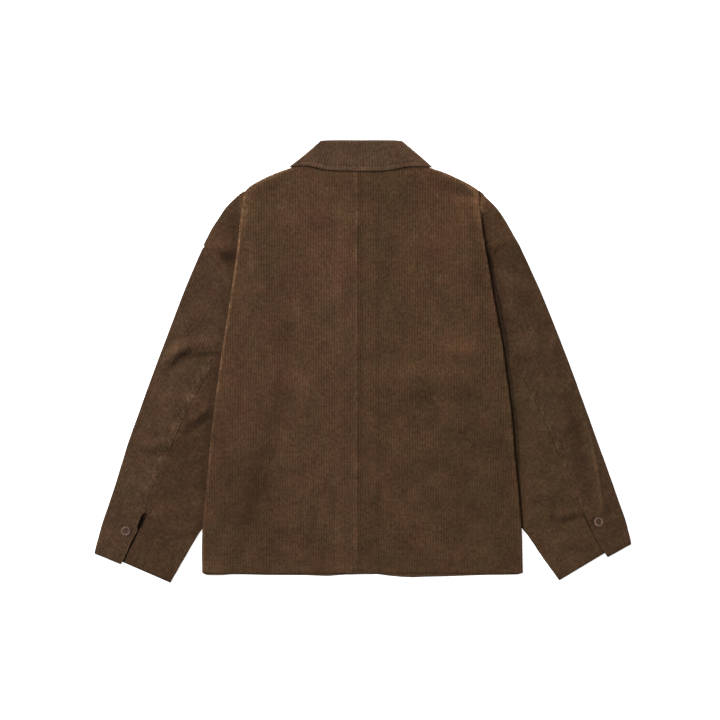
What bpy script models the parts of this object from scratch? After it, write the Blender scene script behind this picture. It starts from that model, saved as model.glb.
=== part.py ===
# Corduroy jacket laid flat on its fronts, back upwards, sleeves turned down and tucked under the sides.
# Metres, +Z up, collar towards +Y. The tables are in millimetres.
import math
from collections import namedtuple

import bpy
from mathutils import Vector

MM = 0.001

# Cloth
CLOTH = 1.3                 # wall of every piece of cloth
PLY = 1.7                   # from the middle of one ply to the middle of the next
SEAM_GAP = 0.35             # between pieces that are sewn together
UNDERARM_GAP = 1.0          # more room at the underarm, where the sleeve's side folds round
NECK_GAP = 0.8              # between the collar's stand and the neck's sloping edges
TURN_STEPS = 4              # straight steps in a fold of half a turn
INNER_TURN = 0.5 * PLY      # radius of a fold between neighbouring plies
OUTER_TURN = 1.5 * PLY      # radius of a fold round such a fold
EDGE_RADIUS = 1.3           # of the shoulder edge, where the back rolls over the front

# Body
CENTRE_X = -7.4             # centre-back seam and centre front
OVERLAP = 17.0              # each front passes the centre by this much
LAP_FLAT = 18.0             # the upper front lies a ply higher out to here
LAP_END = 28.0              # and is down again here
LAP_COVER = 10.0            # the back over it comes down this much further out
RISE_LENGTH = 45.0          # run of the slope from the middle up onto the tucked plies
RISE_SHARE = 0.3            # and at most this share of the way out
RISE_INSET = 5.0            # the slope ends this far inside the tuck
EDGE_FLAT = 8.0             # above the tuck it ends this far inside the shoulder edge
FRONT_INSET = 0.3           # the front ends this far inside the start of that roll
FRONT_DROP = 3.0            # the fronts' hems show this much below the back's
FLAT_POINTS = 8             # points of a cross-section before its fold or rolled edge
LEAST_STEP = 0.5            # between those points
ARMHOLE_STEP = 1.0          # each of the last two steps before the armhole
SHOULDER_GAP = 3.2          # the front ends this far inside the back at the shoulder
SHOULDER_STEP = 0.4         # each of its last two steps there

# Sleeves
FRONT_SEAM = 0.8            # place of the front seam, from the outer fold to the inner one
VENT_LAP = 12.0             # the under sleeve passes under the vent's edge by this much
HEM_DROPS = {-1: 3.3, 1: 5.0}   # the vent's edge hangs this much below the under sleeve's hem, by side
FLAP_SPANS = 2              # steps out from the vent's edge that lie a ply higher
UPPER_SPANS = 4             # steps from the back seam to the outer fold
FRONT_SPANS = 5             # steps from the outer fold to the front seam

# Buttons
BUTTON_WIDTH = 16.0
BUTTON_HEIGHT = 2.6
RIM_WIDTH = 2.2
WELL_DEPTH = 0.8
HOLE_WIDTH = 1.8
HOLE_SPACING = 3.4
RIM_SLOPE = 0.6             # of the rim's inner side
RIM_EDGE = 0.7              # width and height of the rim's outer edge
RIM_DROP = 0.8
SIDE_TAPER = 0.2            # of the side, then the width and height of the edge underneath
UNDER_EDGE = 1.4
UNDER_RISE = 0.5
BUTTON_PLACES = {"left": (-390.2, -281.3), "right": (389.6, -266.1)}

# How far up the plies lie in each cross-section, which both halves of the body share.
# neck: plies under the fronts, next to the collar.  top: ply of the back at its side fold.
Height = namedtuple("Height", "y middle_y neck top")
HEIGHTS = [
    Height(-350.6, -350.6, 0.0, 4.0),
    Height(-319.3, -319.3, 0.0, 4.8),
    Height(-286.3, -286.3, 0.0, 6.0),
    Height(-213.7, -213.7, 0.0, 6.0),
    Height(-147.7, -147.7, 0.0, 6.0),
    Height(-81.7, -81.7, 0.0, 6.0),
    Height(-12.4, -12.4, 0.0, 6.0),
    Height(30.5, 30.5, 0.0, 6.0),
    Height(70.1, 70.1, 0.0, 6.0),
    Height(109.7, 109.7, 0.1, 6.0),
    Height(146.0, 146.0, 0.5, 6.0),
    Height(179.0, 179.0, 0.95, 6.0),
    Height(189.8, 189.8, 1.0, 6.0),
    Height(215.3, 215.3, 1.0, 6.0),
    Height(233.0, 233.0, 1.0, 6.0),
    Height(251.6, 251.6, 1.0, 6.0),
    Height(273.1, 273.1, 1.0, 6.0),
    Height(285.4, 285.4, 1.0, 5.2),
    Height(299.5, 296.0, 1.0, 4.2),
    Height(311.0, 305.0, 1.0, 3.4),
    Height(320.1, 312.0, 1.0, 3.0),
    Height(330.0, 317.6, 1.0, 3.0),
]
UNDERARM = 6                # section through the underarm point
SHOULDER_POINT = 12         # section where the shoulder edge ends and the armhole begins
TUCK_START = 16             # section where the tuck starts, at the shoulder edge

# Widths in the same sections, out from the centre.  fold: side fold, or the shoulder edge above the tuck.
# tuck: inner fold of the tuck, or the side seam below the underarm.  edge: armhole or shoulder edge.
Width = namedtuple("Width", "fold tuck edge")
LEFT_WIDTHS = [
    Width(257.4, 237.6, None),
    Width(257.7, 227.2, None),
    Width(257.1, 215.9, None),
    Width(250.5, 200.0, None),
    Width(245.0, 178.0, None),
    Width(237.6, 160.0, None),
    Width(228.5, 147.7, 153.4),
    Width(222.3, 147.2, 164.2),
    Width(216.1, 150.1, 177.4),
    Width(210.0, 155.6, 195.5),
    Width(204.6, 161.7, 223.4),
    Width(200.0, 166.7, 250.0),
    Width(198.7, 168.3, 254.9),
    Width(196.3, 172.4, 242.5),
    Width(194.7, 176.2, 231.0),
    Width(193.0, 179.8, 218.6),
    Width(189.4, 184.1, 197.2),
    Width(179.8, None, None),
    Width(156.8, None, None),
    Width(131.0, None, None),
    Width(106.0, None, None),
    Width(92.4, None, None),
]
RIGHT_WIDTHS = [
    Width(271.4, 251.6, None),
    Width(270.6, 240.1, None),
    Width(269.9, 228.6, None),
    Width(264.3, 213.8, None),
    Width(257.9, 192.0, None),
    Width(252.1, 174.0, None),
    Width(242.5, 161.7, 167.5),
    Width(235.5, 160.4, 186.4),
    Width(229.3, 163.3, 204.6),
    Width(223.1, 168.7, 217.8),
    Width(217.6, 174.7, 222.8),
    Width(211.7, 178.4, 230.2),
    Width(209.9, 179.5, 265.3),
    Width(205.9, 182.0, 250.0),
    Width(203.8, 185.3, 239.3),
    Width(201.6, 188.4, 228.5),
    Width(200.0, 194.7, 206.6),
    Width(190.6, None, None),
    Width(165.8, None, None),
    Width(140.2, None, None),
    Width(114.0, None, None),
    Width(101.5, None, None),
]
# Front neckline of the left half, out from the centre, in the sections that it crosses.
NECKLINE = {14: 3.0, 15: 36.0, 16: 62.0, 17: 71.0, 18: 77.5, 19: 81.0, 20: 83.0, 21: 84.0}

# Sleeve sections down to the cuff: the outer fold, the back seam and the inner fold, each as x and y.
# flap: how far the vent's edge lies above the under sleeve, in plies.  ridge: height of a crease across.
Sleeve = namedtuple("Sleeve", "outer seam inner flap ridge")
LEFT_SLEEVE = [
    Sleeve((-292.9, 118.0), (-220.3, 28.9), (-162.5, -40.4), 0.0, 0.0),
    Sleeve((-317.6, 53.6), (-245.8, -6.6), (-165.8, -78.4), 0.0, 2.0),
    Sleeve((-342.4, -12.4), (-274.4, -56.4), (-175.7, -119.6), 0.0, 0.3),
    Sleeve((-367.1, -80.0), (-301.9, -110.5), (-192.2, -162.5), 0.0, 1.6),
    Sleeve((-388.6, -141.1), (-325.9, -166.6), (-217.0, -210.4), 0.0, 0.2),
    Sleeve((-406.7, -200.5), (-350.3, -221.9), (-250.0, -259.9), 0.0, 0.6),
    Sleeve((-416.6, -230.2), (-358.9, -251.6), (-268.1, -283.0), 1.0, 1.4),
    Sleeve((-429.8, -269.8), (-373.7, -286.3), (-287.9, -316.0), 1.0, 0.3),
    Sleeve((-441.6, -315.6), (-396.8, -333.3), (-316.0, -364.6), 1.0, 0.0),
]
RIGHT_SLEEVE = [
    Sleeve((291.2, 118.0), (221.9, 33.8), (162.5, -45.4), 0.0, 0.0),
    Sleeve((317.3, 53.6), (250.0, -2.5), (165.0, -81.7), 0.0, 1.2),
    Sleeve((342.2, -10.7), (278.0, -53.6), (175.7, -124.6), 0.0, 0.2),
    Sleeve((367.0, -78.4), (305.6, -109.7), (192.2, -167.5), 0.0, 1.0),
    Sleeve((389.3, -141.1), (327.5, -165.0), (217.0, -215.3), 0.0, 0.2),
    Sleeve((408.6, -193.9), (349.0, -214.5), (246.7, -256.6), 0.0, 0.8),
    Sleeve((422.4, -233.5), (365.5, -253.3), (271.4, -286.3), 1.0, 1.4),
    Sleeve((434.7, -269.8), (382.0, -287.9), (296.2, -322.6), 1.0, 0.3),
    Sleeve((440.5, -299.3), (401.3, -320.6), (323.4, -359.7), 1.0, 0.0),
]

# Collar, as distances out from the centre and up. Its back lies on top and its points lie under the fronts.
# across: share of the way from the turned-down top to the outer edge.  ply: of the back half there.
Band = namedtuple("Band", "across ply")
FALL_BANDS = [
    Band(0.08, 3.0),
    Band(0.030, 3.0),
    Band(0.018, 3.15),
    Band(0.013, 3.5),
    Band(0.018, 3.85),
    Band(0.030, 4.0),
    Band(0.33, 4.0),
    Band(0.66, 4.0),
    Band(1.0, 4.0),
]
LEFT_FALL_TOP = [(0.0, 364.6), (30.0, 364.7), (50.0, 364.2), (61.8, 362.8)]
LEFT_FALL_EDGE = [(0.0, 312.7), (47.9, 314.3), (89.1, 321.8), (112.2, 319.3)]
LEFT_FALL_SIDE = [(61.8, 362.8), (77.3, 348.6), (95.0, 333.2), (112.2, 319.3)]
RIGHT_FALL_TOP = [(0.0, 364.6), (34.0, 364.7), (58.0, 364.2), (72.6, 362.8)]
RIGHT_FALL_EDGE = [(0.0, 312.7), (40.0, 313.2), (92.0, 320.6), (121.0, 319.3)]
RIGHT_FALL_SIDE = [(72.6, 362.8), (89.0, 348.6), (106.4, 333.2), (121.0, 319.3)]
POINT_TOP = [(56.0, 350.0), (51.0, 332.0), (44.0, 314.0), (34.0, 298.0), (20.0, 274.0), (6.0, 252.0)]
POINT_EDGE = [(108.0, 308.0), (101.0, 286.0), (93.0, 264.0), (84.0, 243.0), (75.0, 224.0), (66.0, 205.0)]
STAND_SECTIONS = (21, 19, 17, 16, 15, 14)   # the stand meets the front neckline in these
STAND_SLACK = 1.6           # room between the stand and the fall where they turn the corner
STAND_START = 0.12          # the stand begins this far across, inside the turned-down top
STAND_PLY = 3.0
NECK_REACH = 0.9            # the stand's back is spread over this share of the neck's width
COLLAR_MIDDLE_PLY = 2.5     # the collar's sides fold about this height
OUTER_PLY = 4.0

COLOURS = {
    "front_left": (0.067, 0.036, 0.019),
    "front_right": (0.065, 0.035, 0.019),
    "back_left": (0.087, 0.047, 0.024),
    "back_right": (0.078, 0.042, 0.021),
    "sleeve_upper_left": (0.080, 0.045, 0.026),
    "sleeve_upper_right": (0.070, 0.039, 0.022),
    "sleeve_under_left": (0.061, 0.033, 0.018),
    "sleeve_under_right": (0.065, 0.036, 0.019),
    "collar_fall": (0.089, 0.050, 0.030),
    "collar_stand": (0.080, 0.045, 0.026),
    "cuff_button_left": (0.120, 0.067, 0.045),
    "cuff_button_right": (0.115, 0.064, 0.043),
}
CLOTH_ROUGHNESS = 0.95
BUTTON_ROUGHNESS = 0.45


def clear_scene():
    for thing in list(bpy.data.objects):
        bpy.data.objects.remove(thing, do_unlink=True)


def make_material(node, roughness):
    """A piece's own material, in its own colour."""
    material = bpy.data.materials.new(f"{node}_finish")
    material.use_nodes = True
    surface = material.node_tree.nodes["Principled BSDF"]
    surface.inputs["Base Color"].default_value = (*COLOURS[node], 1.0)
    surface.inputs["Roughness"].default_value = roughness
    surface.inputs["Metallic"].default_value = 0.0
    return material


def level(ply):
    """Height of the middle of a ply, counted from 1 on the floor."""
    return CLOTH / 2 + (ply - 1) * PLY


def blend(a, b, share):
    return a + (b - a) * share


def blend_pair(a, b, share):
    return (blend(a[0], b[0], share), blend(a[1], b[1], share))


def chord(radius, sweep, steps):
    """Length of one straight step in a turn of that radius."""
    return 2 * radius * math.sin(math.radians(sweep) / steps / 2)


def turn(out, height, direction, step, sweep, steps, lean=1.0):
    """Points (out, height) of a turn downwards that starts level, going out (1) or in (-1).
    Where the edge runs aslant, lean stretches it outwards, so that it keeps its radius square to the edge."""
    points = []
    for k in range(steps):
        heading = math.radians(sweep) * (k + 0.5) / steps
        out += direction * step * math.cos(heading) * lean
        height -= step * math.sin(heading)
        points.append((out, height))
    return points


def cloth_object(name, grids, collection):
    """A panel: open surfaces lofted through rows of points, joined at shared points, then given a wall."""
    vertices = []
    faces = []
    numbers = {}

    def number(point):
        key = tuple(round(value, 4) for value in point)
        if key not in numbers:
            numbers[key] = len(vertices)
            vertices.append(Vector(point) * MM)
        return numbers[key]

    for rows in grids:
        for lower, upper in zip(rows, rows[1:]):
            for k in range(len(lower) - 1):
                corners = (lower[k], lower[k + 1], upper[k + 1], upper[k])
                faces.append([number(corner) for corner in corners])
    mesh = bpy.data.meshes.new(name)
    mesh.from_pydata(vertices, [], faces)
    mesh.validate()
    panel = bpy.data.objects.new(name, mesh)
    panel.data.materials.append(make_material(name, CLOTH_ROUGHNESS))
    collection.objects.link(panel)
    wall = panel.modifiers.new("Wall", "SOLIDIFY")
    wall.thickness = CLOTH * MM
    wall.offset = 0.0
    wall.use_even_offset = True
    wall.use_quality_normals = True
    return panel


def section_y(number, out, widths):
    """Sections near the neck rise towards the shoulder."""
    height = HEIGHTS[number]
    share = min(1.0, max(0.0, out / widths[number].fold))
    return blend(height.middle_y, height.y, share ** 2)


def neckline_out(number, widths):
    """Inner end of a front's section: past the centre, or at the neckline."""
    if number not in NECKLINE:
        return -OVERLAP
    return NECKLINE[number] * widths[-1].fold / LEFT_WIDTHS[-1].fold


def lap_share(out):
    """1 over the lapped fronts, 0 beyond them."""
    return min(1.0, max(0.0, (LAP_END - out) / (LAP_END - LAP_FLAT)))


def edge_lean(number, widths):
    """How much longer a section's cut across the shoulder edge is than the edge's own square cut."""
    after = min(number + 1, len(widths) - 1)
    run = widths[number - 1].fold - widths[after].fold
    rise = HEIGHTS[after].y - HEIGHTS[number - 1].y
    return math.hypot(run, rise) / rise


def body_section(widths, number, is_back, front_is_upper):
    """One cross-section of a half of the body, as (out, height) points: from the centre to the end of its fold,
    and from the tuck to the armhole where it goes on."""
    height = HEIGHTS[number]
    width = widths[number]
    folded = number <= TUCK_START
    ply_drop = 0.0 if is_back else 1.0
    middle = level(2 + height.neck - ply_drop)
    top = level(height.top - ply_drop)
    lean = 1.0 if folded else edge_lean(number, widths)
    if folded:
        fold_start = width.fold - OUTER_TURN - CLOTH / 2
        slope_end = width.tuck - RISE_INSET
        sweep = 180
        step = chord(OUTER_TURN if is_back else INNER_TURN, sweep, TURN_STEPS)
    else:
        fold_start = width.fold - (EDGE_RADIUS + CLOTH / 2) * lean
        slope_end = fold_start - EDGE_FLAT
        sweep = 90
        step = chord(EDGE_RADIUS, sweep, TURN_STEPS)
        if not is_back:
            fold_start -= FRONT_INSET * lean
    slope_start = slope_end - min(RISE_LENGTH, RISE_SHARE * slope_end)

    inner = 0.0
    if not is_back:
        inner = neckline_out(number, widths)
    lapped = number < TUCK_START
    cover = LAP_COVER if is_back else 0.0
    outs = [inner]
    outs.append(max(LAP_FLAT + cover, inner + 2 * LEAST_STEP))
    outs.append(max(LAP_END + cover, inner + 4 * LEAST_STEP))
    slope_start = max(slope_start, outs[-1] + LEAST_STEP)
    slope_end = max(slope_end, slope_start + LEAST_STEP)
    outs += [blend(outs[-1], slope_start, 0.5), slope_start, slope_end]
    outs += [blend(slope_end, fold_start, 0.5), fold_start]
    points = []
    for out in outs:
        share = min(1.0, max(0.0, (out - slope_start) / (slope_end - slope_start)))
        lap = lap_share(out - cover) if lapped and (is_back or front_is_upper) else 0.0
        points.append((out, blend(middle, top, share) + lap * PLY))
    if not folded and not is_back:
        return points, None
    points += turn(fold_start, points[-1][1], 1, step, sweep, TURN_STEPS, lean)
    if not folded:
        last, before = points[-1], points[-2]
        points.append((2 * last[0] - before[0], 2 * last[1] - before[1]))
        return points, None
    points.append((width.tuck, points[-1][1]))
    if width.edge is None:
        return points, None

    radius = INNER_TURN if is_back else OUTER_TURN
    outer = [points[-1]]
    outer += turn(width.tuck, points[-1][1], -1, chord(radius, 180, TURN_STEPS), 180, TURN_STEPS)
    lower = outer[-1][1]
    at_shoulder = number >= SHOULDER_POINT
    bend = 0
    edge_start = width.edge - 2 * ARMHOLE_STEP
    edge_step = ARMHOLE_STEP
    if at_shoulder and is_back:
        bend = 45 if number == SHOULDER_POINT else 90
        edge_start = width.edge - EDGE_RADIUS - CLOTH / 2
        edge_step = chord(EDGE_RADIUS, bend, 2)
    elif at_shoulder:
        edge_start = width.edge - SHOULDER_GAP - 2 * SHOULDER_STEP
        edge_step = SHOULDER_STEP
    outer.append((blend(width.tuck, edge_start, 0.5), lower))
    outer.append((edge_start, lower))
    outer += turn(edge_start, lower, 1, edge_step, bend, 2)
    return points, outer


def body_half(name, side, widths, is_back, front_is_upper, collection):
    """A half of the back or a front. Side is -1 for the left and 1 for the right."""
    main_rows = []
    fold_rows = []
    armhole_rows = []
    for number in range(len(HEIGHTS)):
        main, outer = body_section(widths, number, is_back, front_is_upper)

        def place(point):
            out = max(point[0], SEAM_GAP / 2) if is_back else point[0]
            drop = FRONT_DROP if number == 0 and not is_back else 0.0
            return (CENTRE_X + side * out, section_y(number, point[0], widths) - drop, point[1])

        row = [place(point) for point in main]
        main_rows.append(row if is_back else row[:FLAT_POINTS])
        if not is_back and len(row) > FLAT_POINTS:
            fold_rows.append(row[FLAT_POINTS - 1:])
        if outer is not None:
            armhole_rows.append([place(point) for point in outer])
    return cloth_object(name, [main_rows, fold_rows, armhole_rows], collection)


def armhole_points(side, widths):
    """The armhole from the shoulder point to the underarm, as (x, y)."""
    numbers = range(SHOULDER_POINT, UNDERARM - 1, -1)
    return [(CENTRE_X + side * widths[n].edge, HEIGHTS[n].y) for n in numbers]


def toward(start, end):
    length = math.dist(start, end)
    return ((end[0] - start[0]) / length, (end[1] - start[1]) / length)


def moved(point, direction, distance):
    return (point[0] + direction[0] * distance, point[1] + direction[1] * distance)


def fold_under(corner, direction):
    """Points of the half turn at a sleeve's side, from the upper ply round to the lower one."""
    start = moved(corner, direction, -INNER_TURN - CLOTH / 2)
    points = [(*start, level(2))]
    for out, height in turn(0.0, level(2), 1, chord(INNER_TURN, 180, TURN_STEPS), 180, TURN_STEPS):
        points.append((*moved(start, direction, out), height))
    return points


def sleeve_rows(side, widths, sections):
    """Rows of the upper and the under sleeve, from the armhole to the cuff."""
    armhole = armhole_points(side, widths)
    down = toward(armhole[0], sections[1].outer)
    armhole = [moved(point, down, SEAM_GAP) for point in armhole]
    armhole[-1] = moved(armhole[-1], toward(armhole[-1], sections[0].inner), UNDERARM_GAP)
    outer_fold = fold_under(armhole[0], toward(armhole[1], armhole[0]))
    inner_fold = fold_under(armhole[-1], toward(armhole[-2], armhole[-1]))
    upper = [(*point, level(2)) for point in reversed(armhole[1:UPPER_SPANS + 1])]
    upper += outer_fold
    upper += [(*point, level(1)) for point in armhole[1:FRONT_SPANS + 1]]
    under = [(*point, level(2)) for point in armhole[UPPER_SPANS:-1]]
    under += inner_fold
    under += [(*armhole[FRONT_SPANS], level(1))]
    first = moved(armhole[UPPER_SPANS], toward(armhole[UPPER_SPANS], armhole[UPPER_SPANS + 1]), SEAM_GAP)
    under[0] = (*first, level(2))
    last = moved(armhole[FRONT_SPANS], toward(armhole[FRONT_SPANS], armhole[-1]), SEAM_GAP)
    under[-1] = (*last, level(1))
    upper_rows = [upper]
    under_rows = [under]
    for section in sections:
        outward = toward(section.seam, section.outer)
        inward = toward(section.seam, section.inner)
        outer_fold = fold_under(section.outer, outward)
        inner_fold = fold_under(section.inner, inward)
        upper = []
        for k in range(UPPER_SPANS):
            share = k / UPPER_SPANS
            place = blend_pair(section.seam, outer_fold[0][:2], share)
            lift = section.flap if k < FLAP_SPANS else 0.0
            ridge = section.ridge * math.sin(math.pi * share)
            upper.append((*place, level(2 + lift) + ridge * (0.0 if lift else 1.0)))
        upper += outer_fold
        front_seam = blend_pair(section.outer, section.inner, FRONT_SEAM)
        for k in range(1, FRONT_SPANS + 1):
            upper.append((*blend_pair(outer_fold[-1][:2], front_seam, k / FRONT_SPANS), level(1)))
        if section is sections[-1]:
            upper = hem_dropped(upper, toward(sections[-2].seam, section.seam), HEM_DROPS[side])
        lap = VENT_LAP if section.flap and section is not first_flap(sections) else -SEAM_GAP
        under = [(*moved(section.seam, outward, lap), level(2))]
        under.append((*blend_pair(section.seam, inner_fold[0][:2], 0.5), level(2)))
        under += inner_fold
        front_start = moved(front_seam, toward(front_seam, section.inner), SEAM_GAP)
        under.append((*front_start, level(1)))
        upper_rows.append(upper)
        under_rows.append(under)
    return upper_rows, under_rows


def hem_dropped(row, down, drop):
    """The upper sleeve's hem moved down, fading out along its lower ply to the front seam."""
    moved_row = []
    for k, point in enumerate(row):
        fade = min(1.0, (len(row) - 1 - k) / FRONT_SPANS)
        moved_row.append((*moved(point[:2], down, drop * fade), point[2]))
    return moved_row


def first_flap(sections):
    """The section through the top of the vent."""
    return next(section for section in sections if section.flap)


def interpolate(points, share):
    """A place along evenly shared points."""
    position = share * (len(points) - 1)
    k = min(int(position), len(points) - 2)
    return blend_pair(points[k], points[k + 1], position - k)


def collar_row(side, back, corner, point, ply, slack=0.0):
    """One line along the collar from the centre back, round the side of the neck, to the front."""
    radius = (ply - COLLAR_MIDDLE_PLY) * PLY
    inset = (OUTER_PLY - ply) * PLY + slack
    direction = toward(back[-1], corner)
    corner = moved(corner, direction, -inset)
    start = moved(corner, direction, -radius - CLOTH / 2)
    row = [(*place, level(ply)) for place in back]
    row.append((*start, level(ply)))
    for out, height in turn(0.0, level(ply), 1, chord(radius, 180, TURN_STEPS), 180, TURN_STEPS):
        row.append((*moved(start, direction, out), height))
    row += [(*place, level(5 - ply)) for place in point]
    return [(CENTRE_X + side * out, along, height) for out, along, height in row]


def fall_line(top, edge, side_points, across):
    """Back stations, side corner and front stations of the collar's fall at a share of the way across."""
    back = [blend_pair(a, b, across) for a, b in zip(top[:-1], edge[:-1])]
    corner = interpolate(side_points, across)
    point = [blend_pair(a, b, across) for a, b in zip(POINT_TOP, POINT_EDGE)]
    return back, corner, point


def whole_row(left, right):
    """A line from the left front point, round the back, to the right front point."""
    return list(reversed(left)) + right[1:]


def make_collar(collection):
    halves = {
        -1: (LEFT_FALL_TOP, LEFT_FALL_EDGE, LEFT_FALL_SIDE, LEFT_WIDTHS),
        1: (RIGHT_FALL_TOP, RIGHT_FALL_EDGE, RIGHT_FALL_SIDE, RIGHT_WIDTHS),
    }
    rows = []
    for band in FALL_BANDS:
        lines = {}
        for side, (top, edge, side_points, _) in halves.items():
            back, corner, point = fall_line(top, edge, side_points, band.across)
            lines[side] = collar_row(side, back, corner, point, band.ply)
        rows.append(whole_row(lines[-1], lines[1]))
    cloth_object("collar_fall", [rows], collection)

    rows = []
    for share in (0.0, 0.5, 1.0):
        lines = {}
        for side, (top, edge, side_points, widths) in halves.items():
            back, corner, point = fall_line(top, edge, side_points, STAND_START)
            reach = widths[-1].fold
            neck_back = []
            for k in range(len(back)):
                out = reach * NECK_REACH * k / (len(back) - 1)
                neck_back.append((out, section_y(len(HEIGHTS) - 1, out, widths) + NECK_GAP))
            neck_corner = (reach + PLY, HEIGHTS[-1].y + NECK_GAP)
            neck_point = []
            for number in STAND_SECTIONS:
                out = neckline_out(number, widths)
                neck_point.append((out - NECK_GAP, section_y(number, out, widths) + SEAM_GAP))
            back = [blend_pair(a, b, share) for a, b in zip(back, neck_back)]
            corner = blend_pair(corner, neck_corner, share)
            point = [blend_pair(a, b, share) for a, b in zip(point, neck_point)]
            lines[side] = collar_row(side, back, corner, point, STAND_PLY, STAND_SLACK)
        rows.append(whole_row(lines[-1], lines[1]))
    cloth_object("collar_stand", [rows], collection)


def make_button(name, place, collection, cutters):
    """A four-hole button with a raised rim, turned about its middle and drilled."""
    outer = BUTTON_WIDTH / 2
    well = BUTTON_HEIGHT - WELL_DEPTH
    profile = [
        (0.0, well),
        (outer - RIM_WIDTH, well),
        (outer - RIM_WIDTH + RIM_SLOPE, BUTTON_HEIGHT),
        (outer - RIM_EDGE, BUTTON_HEIGHT),
        (outer, BUTTON_HEIGHT - RIM_DROP),
        (outer - SIDE_TAPER, UNDER_RISE),
        (outer - UNDER_EDGE, 0.0),
        (0.0, 0.0),
    ]
    mesh = bpy.data.meshes.new(name)
    points = [(out * MM, 0.0, height * MM) for out, height in profile]
    mesh.from_pydata(points, [(k, k + 1) for k in range(len(points) - 1)], [])
    button = bpy.data.objects.new(name, mesh)
    button.data.materials.append(make_material(name, BUTTON_ROUGHNESS))
    collection.objects.link(button)
    button.location = [value * MM for value in place]
    screw = button.modifiers.new("Turn", "SCREW")
    screw.steps = 24
    screw.render_steps = 24
    screw.use_merge_vertices = True
    screw.merge_threshold = 0.00001
    screw.use_normal_calculate = True
    for k in range(4):
        angle = math.radians(45 + 90 * k)
        depth = 4 * BUTTON_HEIGHT * MM
        bpy.ops.mesh.primitive_cylinder_add(vertices=8, radius=HOLE_WIDTH / 2 * MM, depth=depth)
        drill = bpy.context.object
        drill.name = f"{name}_drill_{k + 1}"
        drill.location = (
            (place[0] + HOLE_SPACING / 2 * math.sqrt(2) * math.cos(angle)) * MM,
            (place[1] + HOLE_SPACING / 2 * math.sqrt(2) * math.sin(angle)) * MM,
            place[2] * MM,
        )
        drill.hide_render = True
        drill.display_type = "WIRE"
        for home in list(drill.users_collection):
            home.objects.unlink(drill)
        cutters.objects.link(drill)
        cut = button.modifiers.new(f"Hole {k + 1}", "BOOLEAN")
        cut.operation = "DIFFERENCE"
        cut.solver = "EXACT"
        cut.object = drill
    return button


def main():
    clear_scene()
    jacket = bpy.data.collections.new("corduroy_jacket")
    cutters = bpy.data.collections.new("cutters")
    bpy.context.scene.collection.children.link(jacket)
    bpy.context.scene.collection.children.link(cutters)

    body_half("front_left", -1, LEFT_WIDTHS, False, False, jacket)
    body_half("front_right", 1, RIGHT_WIDTHS, False, True, jacket)
    body_half("back_left", -1, LEFT_WIDTHS, True, False, jacket)
    body_half("back_right", 1, RIGHT_WIDTHS, True, False, jacket)
    for word, side, widths, sections in (
        ("left", -1, LEFT_WIDTHS, LEFT_SLEEVE),
        ("right", 1, RIGHT_WIDTHS, RIGHT_SLEEVE),
    ):
        upper_rows, under_rows = sleeve_rows(side, widths, sections)
        cloth_object(f"sleeve_upper_{word}", [upper_rows], jacket)
        cloth_object(f"sleeve_under_{word}", [under_rows], jacket)
    make_collar(jacket)
    button_height = level(3) + CLOTH / 2 + SEAM_GAP
    for word, place in BUTTON_PLACES.items():
        make_button(f"cuff_button_{word}", (*place, button_height), jacket, cutters)


main()
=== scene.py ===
import math
from functools import reduce

import bpy
import numpy as np
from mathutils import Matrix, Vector
from mathutils.bvhtree import BVHTree


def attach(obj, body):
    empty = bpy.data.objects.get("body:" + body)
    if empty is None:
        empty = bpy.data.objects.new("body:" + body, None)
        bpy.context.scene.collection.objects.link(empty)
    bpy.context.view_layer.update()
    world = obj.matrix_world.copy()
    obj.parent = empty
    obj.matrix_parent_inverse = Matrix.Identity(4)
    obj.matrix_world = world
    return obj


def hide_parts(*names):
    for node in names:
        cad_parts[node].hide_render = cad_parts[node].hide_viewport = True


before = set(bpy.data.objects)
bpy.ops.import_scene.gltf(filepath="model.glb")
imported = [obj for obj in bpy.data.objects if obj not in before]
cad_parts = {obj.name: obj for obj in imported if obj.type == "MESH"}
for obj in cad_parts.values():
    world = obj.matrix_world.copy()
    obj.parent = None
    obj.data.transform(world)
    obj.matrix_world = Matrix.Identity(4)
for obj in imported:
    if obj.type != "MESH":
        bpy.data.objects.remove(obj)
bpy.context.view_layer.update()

mm = 0.001
scene = bpy.context.scene
print("frame loaded")

# cloth shared by every piece, in millimetres
cloth = {
    "thickness": 0.95,
    "plyPitch": 1.7,        # from one ply to the next
    "floorPly": 0.65,       # middle of the lowest ply
    "waleWidth": 4.3,       # one rib and its groove
    "waleHeight": 0.42,
    "waleRoundness": 0.65,
    "waleSteps": 5,         # mesh steps across a rib
    "sharpFrom": 62,        # degrees between faces that keep a sharp edge
    "centreX": -7.4,
}
centreX = cloth["centreX"]
pitch = cloth["plyPitch"]
sides = ((-1, "Left"), (1, "Right"))


def ply(number):
    return cloth["floorPly"] + (np.asarray(number, float) - 1) * pitch


def ramp(value, start, end):
    # soft step from 0 at the start to 1 at the end, which may be the smaller number
    t = np.clip((value - start) / (end - start), 0, 1)
    return t * t * (3 - 2 * t)


def bump(distance, width):
    return np.exp(-(distance / width) ** 2)


def strongest(*values):
    return reduce(np.maximum, values)


def between(first, second, share):
    first, second = np.asarray(first, float), np.asarray(second, float)
    return first + (second - first) * share


def unit(vectors):
    return vectors / np.maximum(np.linalg.norm(vectors, axis=-1, keepdims=True), 1e-9)


def runAlong(x, y):
    # length run from the first point to each point of a line
    return np.concatenate([[0], np.cumsum(np.hypot(np.diff(x), np.diff(y)))])


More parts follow.
